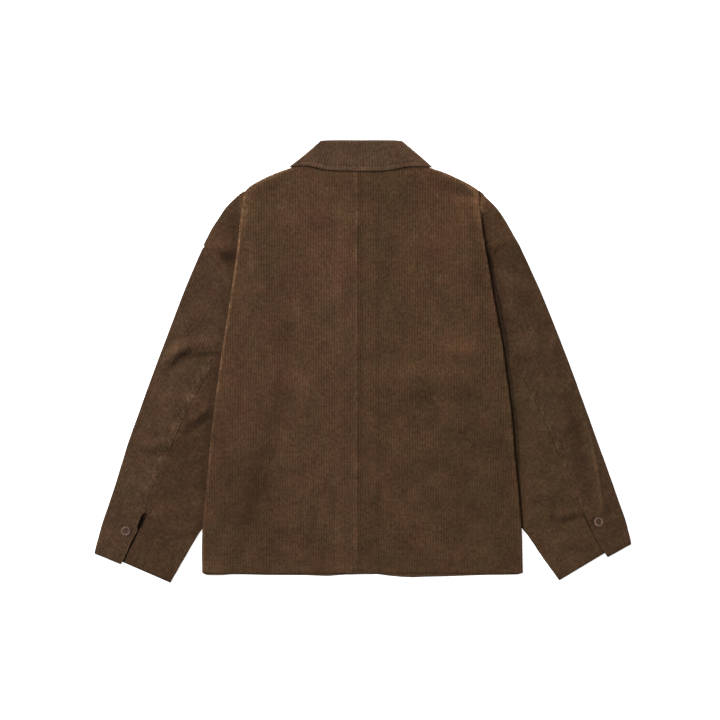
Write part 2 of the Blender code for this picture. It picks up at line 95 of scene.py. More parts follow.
def curveThrough(xs, ys, x):
    # monotone cubic through the points
    xs, ys = np.asarray(xs, float), np.asarray(ys, float)
    gap = np.diff(xs)
    slope = np.diff(ys) / gap
    rate = np.zeros_like(ys)
    first, second = 2 * gap[1:] + gap[:-1], gap[1:] + 2 * gap[:-1]
    safe = np.where(slope == 0, 1e-9, slope)
    middle = (first + second) / (first / safe[:-1] + second / safe[1:])
    rate[1:-1] = np.where(slope[:-1] * slope[1:] > 0, middle, 0)
    rate[0], rate[-1] = slope[0], slope[-1]
    x = np.clip(x, xs[0], xs[-1])
    k = np.clip(np.searchsorted(xs, x) - 1, 0, len(gap) - 1)
    t = (x - xs[k]) / gap[k]
    return (ys[k] * (1 + 2 * t) * (1 - t) ** 2 + gap[k] * rate[k] * t * (1 - t) ** 2
            + ys[k + 1] * t * t * (3 - 2 * t) - gap[k] * rate[k + 1] * t * t * (1 - t))


def toPath(x, y, path):
    # distance from the points to a path, and how far along it from 0 to 1
    path = np.asarray(path, float)
    lengths = np.hypot(*np.diff(path, axis=0).T)
    best = np.full(np.shape(x), 1e9)
    along = np.zeros(np.shape(x))
    done = 0.0
    for a, b, length in zip(path, path[1:], lengths):
        t = np.clip(((x - a[0]) * (b[0] - a[0]) + (y - a[1]) * (b[1] - a[1])) / length ** 2, 0, 1)
        distance = np.hypot(x - a[0] - t * (b[0] - a[0]), y - a[1] - t * (b[1] - a[1]))
        along = np.where(distance < best, (done + t * length) / lengths.sum(), along)
        best = np.minimum(best, distance)
        done += length
    return best, along


def waves(x, y, seed, size, count=5):
    # soft uneven rise and fall, between about -1 and 1
    draw = np.random.default_rng(seed)
    total = np.zeros(np.broadcast(x, y).shape)
    for _ in range(count):
        turnBy = draw.uniform(0, math.tau)
        length = size * draw.uniform(0.7, 1.5)
        phase = draw.uniform(0, math.tau)
        total = total + np.sin((x * math.cos(turnBy) + y * math.sin(turnBy)) * math.tau / length + phase)
    return total / count * 1.4


def crumple(x, y, seed, size):
    # small soft ridges that meet and part, between about -1 and 1
    bentX = x + 0.4 * size * waves(x, y, seed + 1, 2.4 * size)
    bentY = y + 0.4 * size * waves(x, y, seed + 2, 2.4 * size)
    return 1.1 - 2.2 * np.sqrt(waves(bentX, bentY, seed, 1.7 * size, 4) ** 2 + 0.012)


def folds(x, y, creases):
    # sum of listed soft ridges and troughs, each fading out along its path
    total = np.zeros(np.shape(x))
    for height, width, *path in creases:
        distance, along = toPath(x, y, path)
        fade = np.sin(math.pi * np.clip(along * 0.9 + 0.05, 0, 1)) ** 0.7
        total = total + height * bump(distance, width) * fade
    return total


def wale(u):
    # rounded ribs with narrow grooves, from 0 in the groove to 1 on the crest
    return np.abs(np.sin(math.pi * np.asarray(u) / cloth["waleWidth"])) ** cloth["waleRoundness"]


# brushed areas of the nap, and painted shade and highlights along creases and seams: middle, half sizes, turn
# in degrees, how much lighter and how much redder
napAndShadingAreas = {
    "back": [
        (-32, 149, 20, 78, 0, 0.30, 0.9), (-103, 240, 48, 30, -15, 0.20, 0.5),
        (-166, 182, 34, 80, 0, -0.05, -0.7), (-87, -45, 34, 24, -20, 0.35, 0.3),
        (-128, 40, 40, 40, 10, 0.05, 0.4), (-186, -230, 54, 60, 20, -0.42, -0.3),
        (-120, -300, 60, 26, 0, -0.15, 0.1), (-60, -140, 46, 50, 0, 0.05, 0.3),
        (-215, -60, 20, 110, -4, -0.10, 0.5), (-60, 60, 40, 50, 0, 0.0, -0.3),
        (141, 281, 58, 17, -26, 0.35, 0.8), (123, 202, 38, 34, 20, 0.25, 0.5),
        (45, 166, 26, 110, 0, -0.05, -0.6), (161, 24, 70, 14, -9, 0.42, 0.8),
        (111, -19, 56, 11, 4, 0.40, 0.6), (103, -60, 66, 20, 3, -0.40, -0.4),
        (169, -131, 62, 80, 10, -0.30, -0.6), (194, -263, 50, 60, 0, -0.25, -0.3),
        (30, -190, 40, 60, 0, 0.02, 0.3), (62, 272, 70, 24, -6, -0.32, -0.3),
        (90, -250, 40, 50, 30, 0.05, 0.2), (60, 95, 30, 40, 0, 0.05, -0.4),
        (188, 120, 22, 70, 8, 0.05, 0.3), (20, -300, 60, 22, 0, -0.05, 0.3),
        (-222, 172, 17, 13, 0, -1.2, -0.1), (-214, 205, 12, 40, -8, -0.45, -0.1),
        (-252, 196, 16, 18, -30, 0.1, 0.3), (-238, 192, 14, 7, -20, 0.3, 0.3),
        (-228, 238, 22, 26, -35, -0.44, 0.0), (212, 196, 18, 46, 12, -0.2, 0.2),
        (230, 189, 14, 4.5, 20, -0.9, 0.0), (206, 262, 22, 5, -38, 0.35, 0.4),
        (170, 264, 30, 6.5, -6, 0.75, 0.5), (148, 285, 38, 8, -14, -0.6, 0.0),
    ],
    "sleeveLeft": [
        (-273, 30, 36, 12, 8, 0.35, 0.4), (-319, -60, 16, 32, -20, 0.28, -0.2),
        (-338, -120, 20, 50, -20, 0.05, 0.4), (-300, 92, 26, 34, -20, 0.0, 0.4),
        (-264, 10.5, 32, 5, 2, -1.1, -0.2), (-293, 8, 12, 6, 32, -0.4, -0.2),
        (-309, -4, 18, 5, 47, -0.5, -0.2), (-316, 12, 22, 7, 42, 0.6, 0.3),
        (-273, -56, 13, 13, 0, 0.5, 0.3), (-263, -83, 24, 6, 42, 0.55, 0.3),
        (-268, -102, 24, 6.5, 36, -0.85, -0.2), (-352, -151.5, 14, 4, -23, -0.85, -0.2),
        (-328, -150.5, 14, 4, 23, -0.85, -0.2), (-341, -138, 17, 6, 4, 0.5, 0.2),
        (-286, -151, 28, 22, 0, -0.22, 0.5), (-341, -189, 12, 30, -22, 0.35, 0.1),
        (-376, -230, 11, 20, -20, 0.3, 0.6), (-281, -200, 20, 16, 0, 0.08, 0.5),
        (-301, -242, 40, 16, 0, 0.25, -0.2), (-330, -268, 40, 9, -8, 0.15, 0.5),
        (-300, -292, 26, 12, -10, 0.22, 0.4), (-402, -274, 28, 40, -20, -0.26, 0.3),
        (-262, -190, 40, 36, 30, -0.1, -0.4),
    ],
    "sleeveRight": [
        (255, 156, 13, 20, 0, -0.35, 0.1), (250, 134, 28, 9, -28, 0.35, 0.3),
        (272, 98, 20, 20, 0, -0.35, 0.2), (243, 98, 12, 20, 0, 0.3, 0.0),
        (300, 60, 16, 100, 20, 0.1, 0.2), (334, 62, 14, 120, 21, -0.28, -0.2),
        (276, 40, 24, 22, 30, 0.22, 0.2), (309, -83, 20, 55, 15, 0.2, -0.4),
        (354, -126, 11, 68, 10, -0.52, 0.4), (375, -122, 3.0, 34, 12, 0.4, -0.3),
        (385, -174, 3.0, 32, 10, 1.1, -0.4), (391.5, -222, 3.0, 26, 6, 0.7, -0.3),
        (280, -90, 26, 70, 25, 0.0, -0.7), (300, -210, 40, 46, 25, -0.05, -0.6),
        (344, -261, 22, 4, 17, -0.85, -0.2), (366, -254, 8, 4, 30, -0.5, 0.0),
        (340, -250, 26, 6, 14, 0.25, 0.2), (404, -140, 8, 60, 20, -0.12, -0.2),
        (240, 60, 12, 80, 10, -0.05, 0.1), (418, -270, 26, 24, 20, 0.0, 0.4),
        (318, -306, 34, 22, 20, 0.05, 0.3),
    ],
    "collar": [
        (-92, 340, 22, 18, 40, 0.25, 0.5), (88, 340, 22, 18, -40, 0.25, 0.4),
        (-20, 350, 60, 16, 0, -0.10, -0.2), (-8, 322, 90, 8, 0, 0.10, 0.3),
    ],
}


def napAndShadingAt(name, x, y):
    areas = "back"
    if name.startswith("collar"):
        areas = "collar"
    elif name.startswith("sleeve"):
        areas = "sleeveLeft" if "Left" in name else "sleeveRight"
    tone, warmth = np.zeros(np.shape(x)), np.zeros(np.shape(x))
    for middleX, middleY, sizeX, sizeY, turnBy, lighter, redder in napAndShadingAreas[areas]:
        angle = math.radians(turnBy)
        across = (x - middleX) * math.cos(angle) + (y - middleY) * math.sin(angle)
        along = (y - middleY) * math.cos(angle) - (x - middleX) * math.sin(angle)
        share = np.exp(-(across / sizeX) ** 2 - (along / sizeY) ** 2)
        tone, warmth = tone + lighter * share, warmth + redder * share
    if areas == "back":
        # lighter towards the top of the back
        tone = tone + 0.16 * np.clip((y + 20) / 330, -1, 1)
    return tone * (1 + 0.5 * waves(x, y, 61, 55)), warmth


def placeMesh(name, vertices, faces):
    # vertices in millimetres
    mesh = bpy.data.meshes.new(name)
    mesh.from_pydata([(x * mm, y * mm, z * mm) for x, y, z in vertices], [], faces)
    mesh.validate()
    mesh.polygons.foreach_set("use_smooth", [True] * len(mesh.polygons))
    piece = bpy.data.objects.new(name, mesh)
    scene.collection.objects.link(piece)
    return piece


def paint(mesh, label, values):
    layer = mesh.attributes.new(label, "FLOAT", "POINT")
    layer.data.foreach_set("value", values.astype(np.float32))


def grid7(x, y, z, u, v, wear_and_highlight=0.0, shade=0.0):
    shape = np.broadcast(x, y, z, u, v, wear_and_highlight, shade).shape
    return np.stack([np.broadcast_to(np.asarray(a, float), shape) for a in (x, y, z, u, v, wear_and_highlight, shade)], -1)


def joinGrids(grids):
    # points and quads of all the grids, with points at the same place made one
    points, quads, start = [], [], 0
    for grid in grids:
        rows, columns = grid.shape[:2]
        points.append(grid.reshape(-1, 7))
        index = start + np.arange(rows * columns).reshape(rows, columns)
        corners = [index[:-1, :-1], index[:-1, 1:], index[1:, 1:], index[1:, :-1]]
        quads.append(np.stack(corners, -1).reshape(-1, 4))
        start += rows * columns
    points, quads = np.concatenate(points), np.concatenate(quads)
    _, kept, newIndex = np.unique(np.round(points[:, :3], 2), axis=0, return_index=True, return_inverse=True)
    return points[kept], newIndex.reshape(-1)[quads]


def makeShell(name, grids, ribbed=1.0):
    # a closed thin sheet of cloth on grids of (rows, columns, 7): x, y, z, u, v, wear with painted highlight,
    # painted shade
    points, quads = joinGrids(grids)
    place = points[:, :3]
    facing = np.cross(place[quads[:, 2]] - place[quads[:, 0]], place[quads[:, 3]] - place[quads[:, 1]])
    whole = np.linalg.norm(facing, axis=1) > 1e-5
    quads, facing = quads[whole], facing[whole]
    normal = np.zeros_like(place)
    for k in range(4):
        np.add.at(normal, quads[:, k], facing)
    normal = unit(normal)
    half = cloth["thickness"] / 2
    rise = cloth["waleHeight"] * (wale(points[:, 3]) - 0.6) * ribbed
    outer = place + normal * (half + rise)[:, None]
    inner = place - normal * half
    count = len(place)
    edges = np.concatenate([quads[:, [k, (k + 1) % 4]] for k in range(4)])
    edges = edges[edges[:, 0] != edges[:, 1]]
    _, first, uses = np.unique(np.sort(edges, axis=1), axis=0, return_index=True, return_counts=True)
    rim = edges[first[uses == 1]]
    walls = np.stack([rim[:, 1], rim[:, 0], rim[:, 0] + count, rim[:, 1] + count], -1)
    faces = np.concatenate([quads, quads[:, ::-1] + count, walls])
    used = np.unique(faces)
    renumber = np.full(2 * count, -1)
    renumber[used] = np.arange(len(used))
    polygons = []
    for face in renumber[faces].tolist():
        face = [v for k, v in enumerate(face) if v != face[k - 1]]
        if len(face) > 2:
            polygons.append(face)
    vertices = np.concatenate([outer, inner])[used]
    extra = np.concatenate([points[:, 3:], points[:, 3:]])[used]
    piece = placeMesh(name, vertices.tolist(), polygons)
    mesh = piece.data
    mesh.set_sharp_from_angle(angle=math.radians(cloth["sharpFrom"]))
    corners = np.empty(len(mesh.loops), dtype=np.int32)
    mesh.loops.foreach_get("vertex_index", corners)
    grain = mesh.uv_layers.new(name="grain")
    grain.data.foreach_set("uv", (extra[corners, :2] * mm).astype(np.float32).ravel())
    # nap lightness with painted shade and highlights of creases, and how red the nap leans
    tone, warmth = napAndShadingAt(name, vertices[:, 0], vertices[:, 1])
    # the colour marks: wear with painted highlight, painted shade, nap lightness with painted crease shading,
    # and redness
    for label, values in (("wear_and_highlight", extra[:, 2]), ("shade", extra[:, 3]), ("tone", tone), ("warmth", warmth)):
        paint(mesh, label, values)
    return piece


body = {
    "y": [-350.6, -319.3, -286.3, -213.7, -147.7, -81.7, -12.4, 30.5, 70.1, 109.7, 146.0,
          179.0, 189.8, 215.3, 233.0, 251.6, 273.1, 285.4, 299.5, 311.0, 320.1, 330.0],
    "neckPly": [0, 0, 0, 0, 0, 0, 0, 0, 0, 0.1, 0.5, 0.95, 1, 1, 1, 1, 1, 1, 1, 1, 1, 1],
    "topPly": [4.0, 4.8, 6, 6, 6, 6, 6, 6, 6, 6, 6, 6, 6, 6, 6, 6, 6, 5.2, 4.2, 3.4, 3.0, 3.0],
    "underarmY": -12.4,
    "shoulderY": 189.8,     # where the armhole meets the shoulder edge
    "tuckTopY": 273.1,      # where the side fold starts, at the shoulder edge
    "neckMiddleY": 317.6,
    "neckDip": 12.4,        # how far the neckline's middle lies below its ends
    "lap": 17.0,
    "slopeRun": 45.0,
    "slopeInset": 5.0,
    "edgeRadius": 1.2,
    -1: {
        "fold": [257.4, 257.7, 257.1, 250.5, 245.0, 237.6, 228.5, 222.3, 216.1, 210.0, 204.6,
                 200.0, 198.7, 196.3, 194.7, 193.0, 189.4, 179.8, 156.8, 131.0, 106.0, 92.4],
        "tuck": [237.6, 227.2, 215.9, 200.0, 178.0, 160.0, 147.7, 147.2, 150.1, 155.6, 161.7,
                 166.7, 168.3, 172.4, 176.2, 179.8, 184.1],
        "edge": [153.4, 164.2, 177.4, 195.5, 223.4, 250.0, 254.9, 242.5, 231.0, 218.6, 197.2],
    },
    1: {
        "fold": [272.2, 271.4, 270.4, 264.7, 258.3, 252.9, 243.8, 238.0, 230.6, 223.3, 217.6,
                 211.7, 209.9, 205.9, 203.8, 201.6, 200.0, 190.6, 165.8, 140.2, 114.0, 101.5],
        "tuck": [251.6, 240.1, 228.6, 213.8, 192.0, 174.0, 161.7, 160.4, 163.3, 168.7, 174.7,
                 178.4, 179.5, 182.0, 185.3, 188.4, 194.7],
        "edge": [167.5, 186.4, 204.6, 217.8, 222.8, 230.2, 266.1, 252.0, 241.9, 228.7, 207.2],
    },
    # how far the fronts' hems show below the back's
    "frontHem": ([-260, -232, -215, -156, -96, -57, -30, 2, 26, 42, 62, 82, 101, 141, 181, 220, 262],
                 [3.4, 3.5, 2.4, 3.8, 4.0, 5.4, 3.2, 2.1, 2.4, 4.8, 6.6, 7.6, 6.8, 5.9, 4.4, 3.2, 2.2]),
    "necklineY": [233.0, 251.6, 273.1, 285.4, 299.5, 311.0, 320.1, 330.0],
    "neckline": [3.0, 36.0, 62.0, 71.0, 77.5, 81.0, 83.0, 84.0],
}
bodyY = body["y"]

# half of the collar on each side: its fold line, its free edge and the front point under the body
collar = {
    "middlePly": 2.5,
    "stitchInset": 8.0,
    "fallWidth": 50.0,
    -1: {
        "top": [(0.0, 363.7), (30.0, 363.8), (50.0, 363.5), (61.8, 362.6)],
        "edge": [(0.0, 312.7), (47.9, 314.3), (89.1, 321.8), (113.6, 319.5)],
        "side": [(61.8, 362.6), (77.3, 348.6), (95.4, 333.5), (113.6, 319.5)],
    },
    1: {
        "top": [(0.0, 363.7), (34.0, 363.8), (58.0, 363.5), (72.6, 362.4)],
        "edge": [(0.0, 312.7), (40.0, 313.2), (92.0, 320.6), (122.3, 319.6)],
        "side": [(72.6, 362.4), (89.0, 348.6), (106.8, 333.5), (122.3, 319.6)],
    },
    "pointTop": [(56.0, 350.0), (51.0, 332.0), (44.0, 314.0), (34.0, 298.0), (20.0, 274.0), (6.0, 252.0)],
    "pointEdge": [(108.0, 308.0), (101.0, 286.0), (93.0, 264.0), (84.0, 243.0), (75.0, 224.0), (66.0, 205.0)],
}


def foldOut(side, y):
    # the right shoulder swells a little at the top of its fold
    swell = 2.5 * bump(np.asarray(y, float) - 280.0, 4.5) if side > 0 else 0.0
    return curveThrough(bodyY, body[side]["fold"], y) + swell


def tuckOut(side, y):
    return curveThrough(bodyY[:17], body[side]["tuck"], y)


def edgeOut(side, y):
    # armhole below the shoulder point, shoulder edge above it
    low = curveThrough(bodyY[6:13], body[side]["edge"][:7], y)
    high = curveThrough(bodyY[12:17], body[side]["edge"][6:], y)
    return np.where(y < body["shoulderY"], low, high)


def edgeLean(side, y):
    # how much longer a level cut across the shoulder edge is than a square one
    low, high = y - 3, min(y + 3, bodyY[-1])
    return math.hypot(foldOut(side, low) - foldOut(side, high), high - low) / (high - low)


def necklineOut(side, y):
    reach = body[side]["fold"][-1] / body[-1]["fold"][-1]
    return float(curveThrough(body["necklineY"], body["neckline"], y)) * reach


def neckDrop(side, y, out):
    # how far a row near the neck sags towards its middle
    return max(y - 285, 0) / 45 * body["neckDip"] * (1 - (out / foldOut(side, y)) ** 2)


def profileZ(side, y, out, isBack):
    # height of the top layer across the body
    drop, cover = (0.0, 10.0) if isBack else (1.0, 0.0)
    neck = np.interp(y, bodyY, body["neckPly"])
    top = curveThrough(bodyY, body["topPly"], y)
    if y <= body["tuckTopY"]:
        end = tuckOut(side, y) - body["slopeInset"]
    else:
        end = foldOut(side, y) - 12.0
    start = end - min(body["slopeRun"], 0.3 * end)
    middle = ply(2 + neck - drop)
    height = middle + (ply(top - drop) - middle) * ramp(out, start, end)
    if isBack or side > 0:
        # over the lapped fronts
        lapTop = body["tuckTopY"] - 8
        height = height + pitch * ramp(out, 28.0 + cover, 18.0 + cover) * ramp(y, lapTop, lapTop - 30)
    return height


def turnUnder(outs, zs, direction, radius, steps, end, endSteps):
    # the section with a half turn down added, and a level run to the end
    angles = np.linspace(0, math.pi, steps + 1)[1:]
    arcOut = outs[-1] + direction * radius * np.sin(angles)
    arcZ = zs[-1] - radius * (1 - np.cos(angles))
    level = np.linspace(arcOut[-1], end, endSteps)[1:]
    return np.concatenate([outs, arcOut, level]), np.concatenate([zs, arcZ, np.full(len(level), arcZ[-1])])


def bodySection(side, y, isBack, dense):
    # one level cut through a half of the body: out and height along the cloth, and how many points lie on top
    isFolded = y <= body["tuckTopY"]
    fold = float(foldOut(side, y))
    topEnd = fold - 1.5 * pitch - 0.5
    if not isFolded:
        topEnd = fold - (body["edgeRadius"] + 0.6) * edgeLean(side, y)
    start = 0.02
    if not isBack:
        start = -body["lap"] if y <= body["necklineY"][0] else necklineOut(side, y)
    outs = np.linspace(start, topEnd, dense * 30)
    zs = profileZ(side, y, outs, isBack)
    flat = len(outs)
    outer, inner = (1.5, 0.5) if isBack else (0.5, 1.5)
    if isFolded:
        outs, zs = turnUnder(outs, zs, 1, outer * pitch, 10, float(tuckOut(side, y)), 6 * dense)
    if isFolded and y >= body["underarmY"]:
        edge = float(edgeOut(side, y)) - (0.3 if isBack else 3.0)
        if isBack:
            edge -= 1.7 * float(ramp(y, body["shoulderY"] + 1, body["shoulderY"] + 13))
        outs, zs = turnUnder(outs, zs, -1, inner * pitch, 8, edge, 10 * dense)
    return outs, zs, flat


def makeTable(side, ys, length, step):
    # back sections laid out by the cloth's own width: out and height at (row, width), and each row's end
    widths = np.arange(0, length + step, step)
    outTable, zTable, ends = [], [], []
    for y in ys:
        outs, zs, _ = bodySection(side, y, True, 6)
        run = runAlong(outs, zs)
        outTable.append(np.interp(widths, run, outs) + np.maximum(widths - run[-1], 0))
        zTable.append(np.interp(widths, run, zs))
        ends.append(run[-1])
    return np.array(outTable), np.array(zTable), np.array(ends)


def lookUp(table, ys, step, y, u):
    row = np.clip(np.interp(y, ys, np.arange(len(ys))), 0, len(ys) - 1.0001)
    column = np.clip(u / step, 0, table.shape[1] - 1.0001)
    r, c = row.astype(int), column.astype(int)
    fr, fc = row - r, column - c
    upper, lower = (between(table[k, c], table[k, c + 1], fc) for k in (r, r + 1))
    return between(upper, lower, fr)


# soft creases of the back: height, width, then the places that each runs through
backCreases = [
    (2.6, 22, (90, 30), (150, 14), (218, 12)), (2.0, 15, (62, -14), (110, -17), (160, -20)),
    (-1.4, 18, (58, -62), (110, -60), (168, -66)), (2.4, 22, (-130, -30), (-92, -44), (-58, -56)),
    (1.8, 15, (-186, 200), (-164, 130), (-176, 50)), (2.0, 17, (-32, 220), (-36, 150), (-28, 80)),
    (2.2, 22, (-150, 262), (-108, 240), (-60, 244)), (-1.2, 20, (-120, 190), (-84, 150), (-78, 90)),
    (2.0, 16, (92, 300), (132, 288), (172, 262)), (-1.2, 15, (56, 262), (100, 250), (142, 246)),
    (2.2, 20, (100, 220), (126, 196), (160, 182)), (1.2, 18, (40, 240), (34, 160), (46, 80)),
    (1.5, 15, (186, 200), (180, 130), (192, 70)), (1.6, 24, (-200, -130), (-140, -150), (-80, -140)),
    (-1.6, 22, (-222, -200), (-176, -214), (-130, -240)), (1.7, 22, (-210, -268), (-160, -276), (-100, -270)),
    (1.2, 17, (-64, -180), (-50, -220), (-60, -262)), (1.5, 24, (60, -140), (104, -156), (150, -160)),
    (-1.2, 20, (150, -130), (186, -160), (222, -174)), (1.6, 20, (70, -236), (110, -256), (150, -280)),
    (1.5, 19, (170, -210), (206, -240), (226, -280)), (1.2, 15, (40, -300), (90, -318), (150, -312)),
]

back = {
    "tableStep": 0.5,
    "tableWidth": 345.0,
    "steadyWidth": 225.0,   # inside it the ribs stay one pitch apart
    "fanY": 100.0,          # above it the rows fan out to the shoulder
    "rowGap": 7.2,
    "rise": 1.9,            # how softly the top layer lies on the next
    "creaseShare": 1.5,
    "shoulderRise": 1.1,
    "armholeDip": 0.45,
    "foldBulge": 4.9,
    "seamPucker": 0.4,
    "seamDepth": 0.45,
    "hemRise": 0.28,
    "hemLineY": -329.0,
    "hemWearAndLight": (0.3, 0.2),  # on its rubbed line, and as painted light all over the turned edge, which tilts away from the light
    "collarShade": 0.95,
    "hiddenShade": 0.6,
    "shadeY": [-350, -290, -263, -164, -32, 100, 180, 215, 245],
    -1: {
        "foldShade": 0.5,
        "shadeReach": [0.5, 1, 1, 1, 0.5, 1, 2, 2, 1.5],
        "shoulderWearAndHighlight": 0.1,
        "seamShade": 0.12,
        "allowance": 0.6,
    },
    1: {
        "foldShade": 0.72,
        "shadeReach": [1, 1.5, 3, 7, 10, 10, 7.5, 5, 2.5],
        "shoulderWearAndHighlight": 0.4,
        "seamShade": 0.3,
        "allowance": 0.12,
    },
}


def foldShade(side, out, y):
    # how dark the cloth beside a side fold is
    reach = np.interp(y, back["shadeY"], back[side]["shadeReach"]) * (1 + 0.25 * waves(out, y, 87, 45))
    gap = out - foldOut(side, y)
    pocket = 1 + 0.5 * bump(y - 168, 34) if side > 0 else 1
    near = pocket * ramp(gap, reach + 1.5, reach - 1.5)
    return back[side]["foldShade"] * ramp(y, 248, 228) * strongest(near, 0.3 * ramp(gap, reach + 14, reach))


def backRise(side, x, y, out):
    # soft relief of the top layer of the back
    inBody = ramp(foldOut(side, y) - out, 4, 34) * ramp(y, 262, 222) * ramp(y, -350, -334)
    rise = back["rise"] + 0.5 * waves(x, y, 11 + side, 130) + 0.34 * waves(x, y, 31, 40)
    crumples = 0.7 * crumple(x, y, 51, 34) + 0.34 * crumple(x, y, 57, 17)
    rise = rise + crumples * (0.55 + 0.45 * waves(x, y, 83, 120))
    rise = rise + back["creaseShare"] * folds(x, y, backCreases)
    # seam allowance pressed to the left of the centre-back seam, and the seam's small puckers
    seam = np.abs(x - centreX)
    pucker = back["seamPucker"] * waves(x * 0.2, y, 5, 17) * bump(seam - 3, 7)
    ridge = back[side]["allowance"] * ramp(seam, 9, 4)
    groove = back["seamDepth"] * bump(seam, 1.3)
    # the turned hem and its stitched line
    hem = back["hemRise"] * ramp(y, -350, -347) * ramp(y, -330, -333) + 0.2 * bump(y - back["hemLineY"], 2.2)
    return (np.maximum(rise, 0.1) + pucker + ridge) * inBody - groove + hem


def backWearAndHighlight(side, x, y, out, onTop, nearTop, atShoulder):
    # lighter marks: rubbing with painted highlights along the side folds, painted light on the shoulder edge
    # beside the fold's top, and the hem and centre seam
    fromFold = out - foldOut(side, y)
    atTop = ramp(y, 212, 242)
    if side < 0:
        strength = 2.7 + 2.0 * ramp(y, -60, 0) * (1 - atTop)
        sideFoldWearAndHighlight = strength * (1 - 0.35 * atTop) * bump(fromFold + 1.9 + 0.7 * atTop, 1.7 + 1.0 * atTop)
        sideFoldWearAndHighlight = sideFoldWearAndHighlight + 0.75 * ramp(y, 190, 230) * bump(fromFold + 7.5, 5.5)
    else:
        sideFoldWearAndHighlight = 1.9 * bump(fromFold + 2.0, 1.7) + 1.0 * atTop * bump(fromFold + 6, 5)
    uneven = 0.7 + 0.3 * waves(x, y, 77, 40) + 0.35 * ramp(y, 120, 210)
    sideFoldWearAndHighlight = sideFoldWearAndHighlight * (1 + 0.55 * waves(x, y, 79, 10) * atTop) * uneven * nearTop
    # a lighter line on the hem, and painted light over the turned edge that tilts away from the light
    line, allOver = back["hemWearAndLight"]
    hem = line * bump(y + 344, 1.6) + allOver * ramp(y, -332, -344)
    # painted light on the shoulder beside the top of the fold, against the fold's shadow
    wear_and_highlight = strongest(sideFoldWearAndHighlight, 0.8 * bump(fromFold, 6) * ramp(y, 240, 252) * atShoulder, hem * onTop)
    if side < 0:
        seam = np.clip(0.3 + 0.5 * waves(0 * x, y, 15, 14), 0, 1) * bump(out - 3.6, 2.8)
        wear_and_highlight = strongest(wear_and_highlight, seam * onTop)
    return wear_and_highlight


def backShade(side, y, out, onTop, atShoulder):
    # the centre seam, the hem, the cloth beside a side fold and the shadow under the collar's edge
    edgeX, edgeY = zip(*collar[side]["edge"])
    underCollar = ramp(np.interp(out, edgeX, edgeY) - y, 4.2, 0.8) * (out < edgeX[-1] + 3)
    seam = back[side]["seamShade"] * bump(out, 1.4)
    if side > 0:
        seam = strongest(seam, 0.2 * bump(out - 3.5, 4.5))
    shade = strongest(seam, 0.12 * bump(y + 348.6, 1.3), back["collarShade"] * underCollar)
    shade = strongest(shade * onTop, foldShade(side, out, y) * atShoulder)
    return np.where(onTop | atShoulder, shade, back["hiddenShade"])


def rollEdge(side, last, columns, rolled):
    # rows past the last one, turned down square to it
    radius = body["edgeRadius"]
    along = np.gradient(last[:, :3], columns, axis=0)
    outward = unit(np.stack([-along[:, 1], along[:, 0], 0 * columns], -1)) * side
    rows = []
    for k in range(1, 6):
        angle = math.radians(90) * k / 5
        row = last.copy()
        row[:, :3] += outward * (radius * math.sin(angle) * rolled + 0.02 * k)[:, None]
        row[:, 2] -= radius * (1 - math.cos(angle)) * rolled
        row[:, 4] += k * 0.4
        rows.append(row)
    return np.array(rows)


